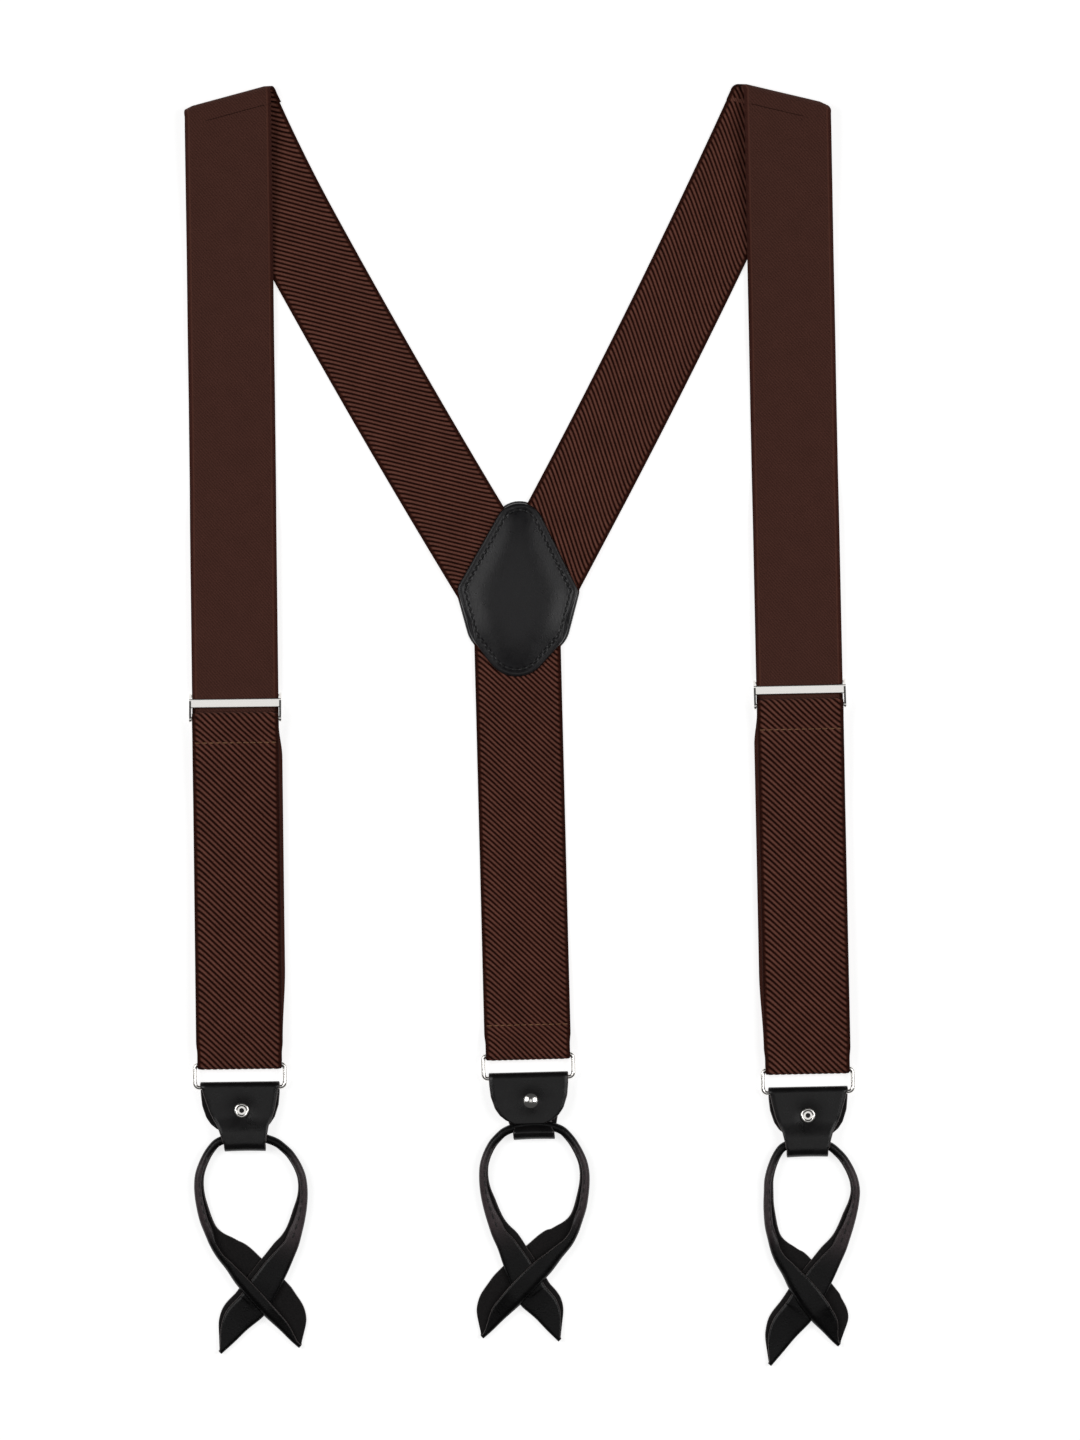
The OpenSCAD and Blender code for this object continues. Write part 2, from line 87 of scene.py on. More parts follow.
def linkTo(tree, node, socket, output=0):
    tree.links.new(node.outputs[output], socket)


def meshPiece(name, vertices, faces, material, smooth=True):
    mesh = bpy.data.meshes.new(name)
    mesh.from_pydata([tuple(v) for v in vertices], [], faces)
    mesh.materials.append(material)
    mesh.polygons.foreach_set("use_smooth", [smooth] * len(mesh.polygons))
    piece = bpy.data.objects.new(name, mesh)
    bpy.context.scene.collection.objects.link(piece)
    return piece


def sealMesh(piece, merge=1e-6):
    # merges doubles, closes open ends and turns every face outwards
    work = bmesh.new()
    work.from_mesh(piece.data)
    bmesh.ops.remove_doubles(work, verts=work.verts, dist=merge)
    rims = [edge for edge in work.edges if edge.is_boundary]
    if rims:
        bmesh.ops.holes_fill(work, edges=rims, sides=0)
        for edge in rims:
            edge.smooth = False
    bmesh.ops.recalc_face_normals(work, faces=work.faces)
    work.to_mesh(piece.data)
    work.free()


def ease(t):
    t = np.clip(t, 0, 1)
    return t * t * (3 - 2 * t)


def toPlan(vector):
    return np.array([vector[0], vector[1], 0.0])


def finishPiece(piece, body, slot, *nodes):
    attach(piece, body)
    if nodes:
        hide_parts(*nodes)
    return piece


def runningLength(points):
    return np.concatenate([[0], np.cumsum(np.linalg.norm(np.diff(points, axis=0), axis=1))])


def resampled(rows, lengths, at):
    return np.stack([np.interp(at, lengths, rows[:, k]) for k in range(rows.shape[1])], axis=1)


def smoothRows(rows, kernel):
    # a moving average that keeps both ends
    reach = len(kernel) // 2
    padded = np.pad(rows, ((reach, reach), (0, 0)), mode="reflect", reflect_type="odd")
    return np.stack([np.convolve(padded[:, k], kernel, "valid") for k in range(rows.shape[1])], axis=1)


# where everything hangs, read from the joints
layout = {"junctionDrop": 9.6 * mm, "centreShift": -0.5 * mm}  # the three runs meet below the patch's middle
sideSign = {"left": 1, "right": -1}


def runFrame(side):
    # a run's own frame: the middle of its ring's upper bar, across the strap, and down it
    ring = joints[side + "_ring_swing"]
    across = toPlan(ring["axis"])
    return {"ring": np.array(ring["pos_m"]), "across": across, "down": np.array([across[1], -across[0], 0.0])}


def dropTo(run, point):
    # how far down its run a point lies
    return float(np.dot(toPlan(point) - run["top"], run["down"]))


runs = {side: runFrame(side) for side in ("left", "right", "back")}
junction = np.array([0.0, -layout["junctionDrop"], 0.0])
runs["back"]["top"] = junction + runs["back"]["across"] * layout["centreShift"]
for side in sideSign:
    run = runs[side]
    fold = joints[side + "_shoulder_fold"]
    run["top"] = toPlan(fold["pos_m"])
    run["foldZ"] = fold["pos_m"][2]
    run["crease"] = -toPlan(fold["axis"])
    run["pinDrop"] = dropTo(run, joints[side + "_lever_flip"]["pos_m"])
for run in runs.values():
    run["ringDrop"] = dropTo(run, run["ring"])


# materials
wovenElastic = {"Roughness": 0.85, "Specular_IOR_Level": 0.08, "Sheen_Weight": 0.02}
wornAndSheenColour = "#53484a"  # a lighter leather colour, partly a finish worn off and partly a painted sheen


def makeRibbedWebbing():
    # rubber-cored elastic woven in a steep twill: matt round ribs, with painted shade that darkens the grooves
    # nearly to black and a painted highlight on the ridge tops
    material, tree, shader = startMaterial("ribbedElasticWebbing", **wovenElastic)
    yarnPitch, patchSize = 0.55, 9.0
    rib = addNode(tree, "ShaderNodeAttribute", attribute_name="rib")
    flat = addNode(tree, "ShaderNodeUVMap", uv_map="flat")
    yarns = addNode(tree, "ShaderNodeTexNoise", {"Vector": flat, "Scale": 1 / yarnPitch, "Detail": 2.0})
    patches = addNode(tree, "ShaderNodeTexNoise", {"Vector": flat, "Scale": 1 / patchSize, "Detail": 3.0})
    shade = addNode(tree, "ShaderNodeMath", [yarns.outputs["Fac"], 0.34, -0.17], operation="MULTIPLY_ADD")
    level = addNode(tree, "ShaderNodeMath", [rib.outputs["Fac"], shade], operation="ADD")
    # the colour follows the rib height: painted shade in the grooves, painted highlight on the ridges
    ramp = addNode(tree, "ShaderNodeValToRGB", [level])
    stops = ramp.color_ramp.elements
    stops[0].position, stops[0].color = 0.25, hexColour("#120301")
    stops[1].position, stops[1].color = 1.0, hexColour("#7b5045")
    for position, code in ((0.5, "#2e110a"), (0.8, "#60372b")):
        stops.new(position).color = hexColour(code)
    tone = addNode(tree, "ShaderNodeHueSaturation", {"Color": ramp, "Value": addNode(
        tree, "ShaderNodeMath", [patches.outputs["Fac"], 0.5, 0.75], operation="MULTIPLY_ADD")})
    linkTo(tree, tone, shader.inputs["Base Color"])
    bump = addNode(tree, "ShaderNodeBump", {
        "Strength": 0.35, "Distance": 0.1 * mm, "Height": yarns.outputs["Fac"]})
    linkTo(tree, bump, shader.inputs["Normal"])
    return material


def makeSmoothWebbing():
    # the reverse of the same elastic: a flat, fine twill with a slightly redder corded selvedge
    material, tree, shader = startMaterial("smoothElasticWebbing", **wovenElastic)
    twillPitch, twillSlope, selvedgeAt, cordWidth = 1.5, 1.15, 15.9, 0.35
    yarnsPerMm, patchesPerMm = 2.2, 0.12
    flat = addNode(tree, "ShaderNodeUVMap", uv_map="flat")
    place = addNode(tree, "ShaderNodeSeparateXYZ", [flat])
    slant = addNode(
        tree, "ShaderNodeMath", [place.outputs["X"], twillSlope, place.outputs["Y"]], operation="MULTIPLY_ADD")
    phase = addNode(tree, "ShaderNodeMath", [slant, 2 * math.pi / twillPitch], operation="MULTIPLY")
    line = addNode(tree, "ShaderNodeMath", [phase], operation="SINE")
    yarns = addNode(tree, "ShaderNodeTexNoise", {"Vector": flat, "Scale": yarnsPerMm, "Detail": 3.0})
    patches = addNode(tree, "ShaderNodeTexNoise", {"Vector": flat, "Scale": patchesPerMm, "Detail": 3.0})
    height = addNode(tree, "ShaderNodeMath", [line, 0.12, yarns.outputs["Fac"]], operation="MULTIPLY_ADD")
    ramp = addNode(tree, "ShaderNodeValToRGB", [height])
    stops = ramp.color_ramp.elements
    stops[0].position, stops[0].color = 0.2, hexColour("#3e231d")
    stops[1].position, stops[1].color = 0.8, hexColour("#5f3c33")
    fromEdge = addNode(tree, "ShaderNodeMath", [place.outputs["X"]], operation="ABSOLUTE")
    cord = addNode(tree, "ShaderNodeMath", [fromEdge, selvedgeAt, cordWidth], operation="COMPARE")
    border = addNode(tree, "ShaderNodeMath", [fromEdge, selvedgeAt], operation="GREATER_THAN")
    colour = ramp.outputs[0]
    for share, strength, code in ((border, 0.5, "#4a2018"), (cord, 0.45, "#6d4438")):
        part = addNode(tree, "ShaderNodeMath", [share, strength], operation="MULTIPLY")
        tinted = addNode(tree, "ShaderNodeMix", {0: part, 6: colour, 7: hexColour(code)}, data_type="RGBA")
        colour = tinted.outputs[2]
    tone = addNode(tree, "ShaderNodeHueSaturation", {"Color": colour, "Value": addNode(
        tree, "ShaderNodeMath", [patches.outputs["Fac"], 0.24, 0.9], operation="MULTIPLY_ADD")})
    linkTo(tree, tone, shader.inputs["Base Color"])
    raised = addNode(tree, "ShaderNodeMath", [cord, height], operation="ADD")
    bump = addNode(tree, "ShaderNodeBump", {"Strength": 0.5, "Distance": 0.12 * mm, "Height": raised})
    linkTo(tree, bump, shader.inputs["Normal"])
    return material


def makeLeather(name, dark, light, roughness, grainSize, grainDepth, shine):
    # pigmented cowhide: nearly black, with a soft broken sheen where the grain's pebbles catch the light
    material, tree, shader = startMaterial(name, Specular_IOR_Level=shine)
    place = addNode(tree, "ShaderNodeTexCoord").outputs["Object"]
    grain = addNode(tree, "ShaderNodeTexVoronoi", {"Vector": place, "Scale": 1 / (grainSize * mm)})
    creases = addNode(
        tree, "ShaderNodeTexNoise", {"Vector": place, "Scale": 1 / (6 * grainSize * mm), "Detail": 5.0})
    fine = addNode(
        tree, "ShaderNodeTexNoise", {"Vector": place, "Scale": 1.6 / (grainSize * mm), "Detail": 4.0})
    mixed = addNode(
        tree, "ShaderNodeMath", [creases.outputs["Fac"], 0.5, fine.outputs["Fac"]], operation="MULTIPLY_ADD")
    colour = addNode(tree, "ShaderNodeMix", {0: addNode(
        tree, "ShaderNodeMapRange", {"Value": mixed, "From Min": 0.45, "From Max": 1.05}),
        6: hexColour(dark), 7: hexColour(light)}, data_type="RGBA")
    # where the piece carries the named point value the colour turns lighter: partly a finish rubbed thin,
    # partly a painted sheen
    rubbed = addNode(tree, "ShaderNodeAttribute", attribute_name="rubbed")
    share = addNode(tree, "ShaderNodeMath", [rubbed.outputs["Fac"], mixed], operation="MULTIPLY")
    wearAndSheenMix = addNode(
        tree, "ShaderNodeMix", {0: share, 6: colour.outputs[2], 7: hexColour(wornAndSheenColour)}, data_type="RGBA")
    linkTo(tree, wearAndSheenMix, shader.inputs["Base Color"], 2)
    rough = addNode(
        tree, "ShaderNodeMath", [creases.outputs["Fac"], 0.22, roughness - 0.11], operation="MULTIPLY_ADD")
    linkTo(tree, rough, shader.inputs["Roughness"])
    height = addNode(
        tree, "ShaderNodeMath", [grain.outputs["Distance"], 0.6, mixed], operation="MULTIPLY_ADD")
    bump = addNode(tree, "ShaderNodeBump", {"Strength": 0.4, "Distance": grainDepth * mm, "Height": height})
    linkTo(tree, bump, shader.inputs["Normal"])
    return material


def makeThread(name, dark, light):
    # twisted polyester or cotton: short light and dark bands where the plies turn
    material, tree, shader = startMaterial(name, Roughness=0.55, Sheen_Weight=0.15)
    plyLength = 0.35 * mm
    place = addNode(tree, "ShaderNodeTexCoord").outputs["Object"]
    plies = addNode(tree, "ShaderNodeTexNoise", {"Vector": place, "Scale": 1 / plyLength, "Detail": 2.0})
    colour = addNode(
        tree, "ShaderNodeMix", {0: plies, 6: hexColour(dark), 7: hexColour(light)}, data_type="RGBA")
    linkTo(tree, colour, shader.inputs["Base Color"], 2)
    bump = addNode(tree, "ShaderNodeBump", {"Strength": 0.3, "Distance": 0.05 * mm, "Height": plies})
    linkTo(tree, bump, shader.inputs["Normal"])
    return material


def makeNickel():
    # nickel-plated steel: bright, barely warm, with hair-fine rubbing along its length
    material, tree, shader = startMaterial("nickelPlatedSteel", Metallic=1.0)
    perMetre = (150.0, 2200.0, 2200.0)  # marks about 7 mm long and half a millimetre apart
    place = addNode(tree, "ShaderNodeTexCoord").outputs["Object"]
    stretched = addNode(tree, "ShaderNodeMapping", {"Vector": place, "Scale": perMetre})
    rubbing = addNode(tree, "ShaderNodeTexNoise", {"Vector": stretched, "Scale": 1.0, "Detail": 3.0})
    tint = addNode(tree, "ShaderNodeMix", {
        0: rubbing, 6: hexColour("#e9e6e1"), 7: hexColour("#f7f5f2")}, data_type="RGBA")
    linkTo(tree, tint, shader.inputs["Base Color"], 2)
    rough = addNode(tree, "ShaderNodeMath", [rubbing, 0.14, 0.1], operation="MULTIPLY_ADD")
    linkTo(tree, rough, shader.inputs["Roughness"])
    bump = addNode(tree, "ShaderNodeBump", {"Strength": 0.1, "Distance": 0.02 * mm, "Height": rubbing})
    linkTo(tree, bump, shader.inputs["Normal"])
    return material


ribbedWebbing = makeRibbedWebbing()
smoothWebbing = makeSmoothWebbing()
# name, darkest and lightest colour, roughness, grain size and depth in mm, shine
calfLeather = makeLeather("calfLeather", "#080808", "#181617", 0.3, 0.7, 0.06, 0.32)
loopLeather = makeLeather("creasedCalfLeather", "#020202", "#0e0d0e", 0.3, 0.8, 0.12, 0.2)
patchLeather = makeLeather("patchLeather", "#131214", "#1f1e20", 0.31, 0.7, 0.07, 0.32)
fleshSide = makeLeather("leatherFleshSide", "#0c0b0b", "#242121", 0.9, 0.9, 0.25, 0.3)
leatherEdge = makeLeather("burnishedLeatherEdge", "#332e2e", "#5a5251", 0.55, 0.6, 0.08, 0.3)
blackThread = makeThread("waxedBlackThread", "#010101", "#080808")
brownThread = makeThread("brownPolyesterThread", "#5e3719", "#a06f45")
cottonCord = makeThread("cottonCord", "#2c2723", "#57493c")
nickel = makeNickel()
print("materials made")


# elastic webbing, in mm; the doubled end is slightly stretched, so its ribs lie wider apart
webbing = {"width": 35.0, "thickness": 1.3, "ribPitch": 2.26, "stretchedPitch": 2.45, "ribSlope": 0.97,
           "ribHeight": 0.36, "selvedge": 1.1, "step": 0.45, "pointsBeneath": 12}


def treeWithInputs(name, numbers, geometry=False):
    # an empty tree with named inputs
    tree = bpy.data.node_groups.new(name, "GeometryNodeTree")
    if geometry:
        tree.interface.new_socket(name="Geometry", in_out="INPUT", socket_type="NodeSocketGeometry")
    for label, kind in numbers:
        tree.interface.new_socket(name=label, in_out="INPUT", socket_type="NodeSocket" + kind)
    tree.interface.new_socket(name="Geometry", in_out="OUTPUT", socket_type="NodeSocketGeometry")
    return tree, tree.nodes.new("NodeGroupInput").outputs, tree.nodes.new("NodeGroupOutput")


def growPiece(name, tree, values, guide=None):
    # runs a tree on a guide mesh and keeps the result as a plain mesh
    holder = bpy.data.objects.new(name + "_guide", guide or bpy.data.meshes.new(name + "_guide"))
    bpy.context.scene.collection.objects.link(holder)
    modifier = holder.modifiers.new("grow", "NODES")
    modifier.node_group = tree
    for item in tree.interface.items_tree:
        if item.in_out == "INPUT" and item.name in values:
            modifier[item.identifier] = values[item.name]
    evaluated = holder.evaluated_get(bpy.context.evaluated_depsgraph_get())
    mesh = bpy.data.meshes.new_from_object(evaluated)
    mesh.name = name
    bpy.data.objects.remove(holder)
    piece = bpy.data.objects.new(name, mesh)
    bpy.context.scene.collection.objects.link(piece)
    return piece


def makeWebbingTree():
    # flat webbing in its own frame: x across, y along, z through it with the ribs on top
    sizes = ("Width", "Thickness", "From", "To", "From Skew", "To Skew", "Rib Height", "Rib Pitch",
             "Rib Slope", "Selvedge", "Top Share")
    tree, given, out = treeWithInputs("ribbedWebbing", [(size, "Float") for size in sizes] + [
        ("Points Across", "Int"), ("Points Along", "Int"), ("Face", "Material"), ("Reverse", "Material")])
    grid = addNode(tree, "GeometryNodeMeshGrid", {
        "Size X": 1.0, "Size Y": 1.0,
        "Vertices X": given["Points Across"], "Vertices Y": given["Points Along"]})
    place = addNode(tree, "ShaderNodeSeparateXYZ", [addNode(tree, "GeometryNodeInputPosition")])
    u = addNode(tree, "ShaderNodeMath", [place.outputs["X"], 0.5], operation="ADD")
    v = addNode(tree, "ShaderNodeMath", [place.outputs["Y"], 0.5], operation="ADD")
    over = addNode(tree, "ShaderNodeMapRange", [u, 0.0, given["Top Share"], 0.0, 1.0])
    under = addNode(tree, "ShaderNodeMapRange", [u, given["Top Share"], 1.0, 0.0, 1.0])
    onTop = addNode(tree, "ShaderNodeMath", [u, addNode(
        tree, "ShaderNodeMath", [given["Top Share"], 0.0005], operation="ADD")], operation="LESS_THAN")
    across = addNode(tree, "ShaderNodeMath", [over, under], operation="SUBTRACT")
    centred = addNode(tree, "ShaderNodeMath", [across, 0.5], operation="SUBTRACT")
    x = addNode(tree, "ShaderNodeMath", [centred, given["Width"]], operation="MULTIPLY")
    start = addNode(tree, "ShaderNodeMath", [x, given["From Skew"], given["From"]], operation="MULTIPLY_ADD")
    stop = addNode(tree, "ShaderNodeMath", [x, given["To Skew"], given["To"]], operation="MULTIPLY_ADD")
    span = addNode(tree, "ShaderNodeMath", [stop, start], operation="SUBTRACT")
    y = addNode(tree, "ShaderNodeMath", [span, v, start], operation="MULTIPLY_ADD")
    halfWidth = addNode(tree, "ShaderNodeMath", [given["Width"], 0.5], operation="MULTIPLY")
    fromEdge = addNode(tree, "ShaderNodeMath", [halfWidth, addNode(
        tree, "ShaderNodeMath", [x], operation="ABSOLUTE")], operation="SUBTRACT")
    # the edge is rounded over half the thickness
    halfThickness = addNode(tree, "ShaderNodeMath", [given["Thickness"], 0.5], operation="MULTIPLY")
    short = addNode(tree, "ShaderNodeMapRange", [fromEdge, 0.0, halfThickness, 1.0, 0.0])
    square = addNode(tree, "ShaderNodeMath", [short, 2.0], operation="POWER")
    body = addNode(tree, "ShaderNodeMath", [1.0, square], operation="SUBTRACT")
    crown = addNode(tree, "ShaderNodeMath", [body], operation="SQRT")
    # ribs slant across the strap and turn a little towards its edges
    doubled = addNode(tree, "ShaderNodeMath", [centred, 2.0], operation="MULTIPLY")
    outwards = addNode(tree, "ShaderNodeMath", [doubled], operation="ABSOLUTE")
    bend = addNode(tree, "ShaderNodeMath", [addNode(
        tree, "ShaderNodeMath", [outwards, 10.0], operation="POWER"), -0.08, 1.0], operation="MULTIPLY_ADD")
    slant = addNode(tree, "ShaderNodeMath", [addNode(
        tree, "ShaderNodeMath", [x, given["Rib Slope"]], operation="MULTIPLY"), bend], operation="MULTIPLY")
    phase = addNode(tree, "ShaderNodeMath", [addNode(
        tree, "ShaderNodeMath", [y, slant], operation="SUBTRACT"), given["Rib Pitch"]], operation="DIVIDE")
    wave = addNode(tree, "ShaderNodeMath", [addNode(
        tree, "ShaderNodeMath", [phase, math.pi], operation="MULTIPLY")], operation="SINE")
    ridge = addNode(tree, "ShaderNodeMath", [addNode(
        tree, "ShaderNodeMath", [wave], operation="ABSOLUTE"), 0.8], operation="POWER")
    wide = addNode(tree, "ShaderNodeMath", [given["Selvedge"], 1.5], operation="MULTIPLY")
    inside = addNode(tree, "ShaderNodeMapRange", [
        fromEdge, given["Selvedge"], wide, 0.0, 1.0], interpolation_type="SMOOTHSTEP")
    plain = 0.5  # the rib value of the ribless selvedge
    fromPlain = addNode(tree, "ShaderNodeMath", [ridge, plain], operation="SUBTRACT")
    rib = addNode(tree, "ShaderNodeMath", [fromPlain, inside, plain], operation="MULTIPLY_ADD")
    valley = addNode(tree, "ShaderNodeMath", [halfThickness, given["Rib Height"]], operation="SUBTRACT")
    level = addNode(tree, "ShaderNodeMath", [rib, given["Rib Height"], valley], operation="MULTIPLY_ADD")
    low = addNode(tree, "ShaderNodeMath", [halfThickness, -1.0], operation="MULTIPLY")
    side = addNode(tree, "ShaderNodeMix", {0: onTop, 2: low, 3: level})
    z = addNode(tree, "ShaderNodeMath", [side, crown], operation="MULTIPLY")
    marked = addNode(tree, "GeometryNodeStoreNamedAttribute", {"Geometry": grid, "Name": "rib", "Value": rib})
    faced = addNode(
        tree, "GeometryNodeStoreNamedAttribute", {"Geometry": marked, "Name": "ribbedFace", "Value": onTop})
    shaped = addNode(tree, "GeometryNodeSetPosition", {"Geometry": faced, "Position": addNode(
        tree, "ShaderNodeCombineXYZ", [x, y, z])})
    merged = addNode(tree, "GeometryNodeMergeByDistance", {"Geometry": shaped, "Distance": 1e-6})
    smooth = addNode(tree, "GeometryNodeSetShadeSmooth", {"Geometry": merged})
    faceOn = addNode(tree, "GeometryNodeInputNamedAttribute", {"Name": "ribbedFace"})
    realised = addNode(tree, "GeometryNodeRealizeInstances", [smooth])
    backed = addNode(tree, "GeometryNodeSetMaterial", {"Geometry": realised, "Material": given["Reverse"]})
    isFace = addNode(
        tree, "FunctionNodeCompare", {"A": faceOn.outputs["Attribute"], "B": 0.6}, operation="GREATER_THAN")
    fronted = addNode(
        tree, "GeometryNodeSetMaterial", {"Geometry": backed, "Material": given["Face"], "Selection": isFace})
    linkTo(tree, fronted, out.inputs["Geometry"])
    return tree


webbingTree = makeWebbingTree()


def weaveStrap(name, start, stop, mapping, startSkew=0.0, stopSkew=0.0, ribPitch=webbing["ribPitch"]):
    # a stretch of webbing, made flat and then laid where mapping puts it
    width, step = webbing["width"] * mm, webbing["step"] * mm
    pointsOver = round(width / step)
    pointsAll = pointsOver + webbing["pointsBeneath"]
    piece = growPiece(name, webbingTree, {
        "Width": width, "Thickness": webbing["thickness"] * mm, "From": start, "To": stop,
        "From Skew": startSkew, "To Skew": stopSkew, "Rib Height": webbing["ribHeight"] * mm,
        "Rib Pitch": ribPitch * mm, "Rib Slope": webbing["ribSlope"],
        "Selvedge": webbing["selvedge"] * mm, "Top Share": pointsOver / pointsAll,
        "Points Across": pointsAll + 1, "Points Along": max(4, round(abs(stop - start) / step)),
        "Face": ribbedWebbing, "Reverse": smoothWebbing})
    mesh = piece.data
    flat = np.zeros(len(mesh.vertices) * 3)
    mesh.vertices.foreach_get("co", flat)
    flat = flat.reshape(-1, 3)
    corner = np.zeros(len(mesh.loops), int)
    mesh.loops.foreach_get("vertex_index", corner)
    layer = mesh.uv_layers.new(name="flat")
    layer.data.foreach_set("uv", (flat[corner, :2] / mm).ravel())
    mesh.vertices.foreach_set("co", mapping(flat).ravel())
    mesh.update()
    sealMesh(piece)
    return piece


def pathAlong(points, spacing=0.3 * mm, rounding=5):
    # a smooth line through [along, up] points, with its normals on the ribbed side
    points = np.array(points, float)
    lengths = runningLength(points)
    at = np.linspace(0, lengths[-1], max(8, int(lengths[-1] / spacing)))
    line = smoothRows(resampled(points, lengths, at), np.ones(2 * rounding + 1) / (2 * rounding + 1))
    tangent = np.gradient(line, axis=0)
    tangent /= np.linalg.norm(tangent, axis=1, keepdims=True)
    normal = np.stack([-tangent[:, 1], tangent[:, 0]], axis=1)
    return {"at": at, "line": line, "normal": normal, "length": lengths[-1]}


def layOnPath(run, path, ribsUp=True, bow=None, narrowed=None):
    # turns flat webbing into webbing that follows a path down its run
    sign = 1 if ribsUp else -1

    def mapping(flat):
        along, level = resampled(path["line"], path["at"], flat[:, 1]).T
        leanAlong, leanUp = resampled(path["normal"], path["at"], flat[:, 1]).T
        x = sign * flat[:, 0] * (1 if narrowed is None else narrowed(along))
        x = x + (0 if bow is None else bow(along))
        height = sign * flat[:, 2]
        ground = run["top"] + np.outer(x, run["across"]) + np.outer(along + height * leanAlong, run["down"])
        return ground + np.outer(level + height * leanUp, up)

    return mapping


# heights of the webbing's middle above the table
levels = {"table": 0.65 * mm, "underPatch": 1.9 * mm, "onBackRun": 2.6 * mm, "overLever": 3.05 * mm}
# a path starts "lead" before its crease, and the back run drifts aside over "reach" as it nears the bend
shoulderBend = {"radius": 2.85 * mm, "flap": 4 * mm, "lead": 20 * mm, "lap": 0.2 * mm,
                "drift": {"left": 2.2 * mm, "right": 5.4 * mm}, "reach": {"left": 60 * mm, "right": 180 * mm}}
backRuns = {"bow": {"left": -2.0 * mm, "right": 0.0}, "climbFrom": 52, "climbOver": 13, "past": 8 * mm,
            "parting": 0.15 * mm, "cutAbove": 1 * mm, "lostLength": 10 * mm}


def slope(fromDrop, toDrop, fromLevel, toLevel, count=14):
    # points of a soft climb or fall from one level to another
    return [[fromDrop + (toDrop - fromDrop) * k / count,
             fromLevel + (toLevel - fromLevel) * float(ease(k / count))] for k in range(count + 1)]


def halfTurn(at, level, reach, rise):
    # points half way round a bar, from above it if rise is positive
    return [[at + reach * math.sin(a), level + rise * math.cos(a)] for a in np.linspace(0, math.pi, 13)]


def backRun(side):
    # from the shoulder crease down to the patch; it bows out a little on the left
    run = runs[side]
    toJunction = junction - run["top"]
    length = float(np.linalg.norm(toJunction))
    down = toJunction / length
    across = np.array([-down[1], down[0], 0.0])
    diagonal = {"top": run["top"], "down": down, "across": across}
    skew = float(np.dot(run["crease"], down) / np.dot(run["crease"], across))
    flap = shoulderBend["flap"] * math.sqrt(1 + skew * skew)
    lead, flat, raised = shoulderBend["lead"], levels["table"], levels["underPatch"]
    climbFrom, climbOver = backRuns["climbFrom"], backRuns["climbOver"]
    climb = [[length - d * mm, flat + (raised - flat) * float(ease((climbFrom - d) / climbOver))]
             for d in range(climbFrom - 2, climbFrom - 14, -2)]
    path = pathAlong([[-lead, flat], [length - climbFrom * mm, flat]] + climb + [[length + 12 * mm, raised]])
    drift, reach = shoulderBend["drift"][side], shoulderBend["reach"][side]

    def bowed(along):
        middle = backRuns["bow"][side] * 4 * (along / length) * (1 - along / length)
        return middle + sideSign[side] * drift * np.clip(1 - along / reach, 0, 2) ** 2

    lay = layOnPath(diagonal, path, bow=bowed)
    piece = weaveStrap(side + "_back_run", flap + lead, length + backRuns["past"] + lead, lay, skew, 0.0)
    run["diagonal"], run["skew"] = diagonal, skew
    # the two runs are cut on the centre line beneath the patch, and above the centre strap
    work = bmesh.new()
    work.from_mesh(piece.data)
    inward = sideSign[side]
    parting = ((-inward * backRuns["parting"], 0, 0), (inward, 0, 0))
    lowerEnd = ((0, junction[1] + backRuns["cutAbove"], 0), (0, -1, 0))
    for point, normal in (parting, lowerEnd):
        geometry = work.verts[:] + work.edges[:] + work.faces[:]
        cut = bmesh.ops.bisect_plane(work, geom=geometry, plane_co=point, plane_no=normal, clear_outer=True)
        rim = [e for e in cut["geom_cut"] if isinstance(e, bmesh.types.BMEdge)]
        bmesh.ops.holes_fill(work, edges=rim, sides=0)
    work.to_mesh(piece.data)
    work.free()
    finishPiece(piece, "back", "webbing", side + "_back_webbing")


def shoulderFold(side):
    # the soft bend over the crease: a half turn round an axis that lies askew to both runs
    run, radius, flap, lap = runs[side], shoulderBend["radius"], shoulderBend["flap"], shoulderBend["lap"]
    drift = sideSign[side] * shoulderBend["drift"][side]
    gamma = math.atan(run["skew"])
    outwards = np.array([-run["crease"][1], run["crease"][0], 0.0])
    turn = math.pi * radius
    scale = 1 / math.cos(gamma)

    def mapping(flat):
        q = -flat[:, 1] * math.cos(gamma) + flat[:, 0] * math.sin(gamma)
        angle = np.clip(q / radius, 0, math.pi)
        r = flat[:, 0] * math.cos(gamma) + flat[:, 1] * math.sin(gamma) + radius * math.tan(gamma) * angle
        # the back run leaves the bend a little nearer the middle than the front run does
        behind = np.clip(1 - np.maximum(-q, 0) / shoulderBend["reach"][side], 0, 1) ** 2
        r = r + drift * np.where(q < 0, behind, ease(1 - angle / math.pi))
        reach = radius - flat[:, 2]
        off = np.minimum(q, 0) + reach * np.sin(angle) - np.maximum(q - turn, 0)
        level = run["foldZ"] - reach * np.cos(angle)
        return run["top"] + np.outer(r, run["crease"]) + np.outer(off, outwards) + np.outer(level, up)

    start, stop, skew = -(turn + flap + lap) * scale, (flap + lap) * scale, run["skew"]
    piece = weaveStrap(side + "_shoulder_bend", start, stop, mapping, skew, skew)
    beneath, above = (run["top"] + up * (run["foldZ"] + rise) for rise in (-radius, radius))
    finishBlend(piece, "back", side + "_front", beneath, above, side + "_fold_webbing")


def finishBlend(piece, first, second, start, end, *nodes):
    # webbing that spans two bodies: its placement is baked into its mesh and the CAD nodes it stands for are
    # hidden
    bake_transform(piece)
    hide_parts(*nodes)


def pointDown(run, drop, level=0.0):
    return run["top"] + run["down"] * drop + up * level


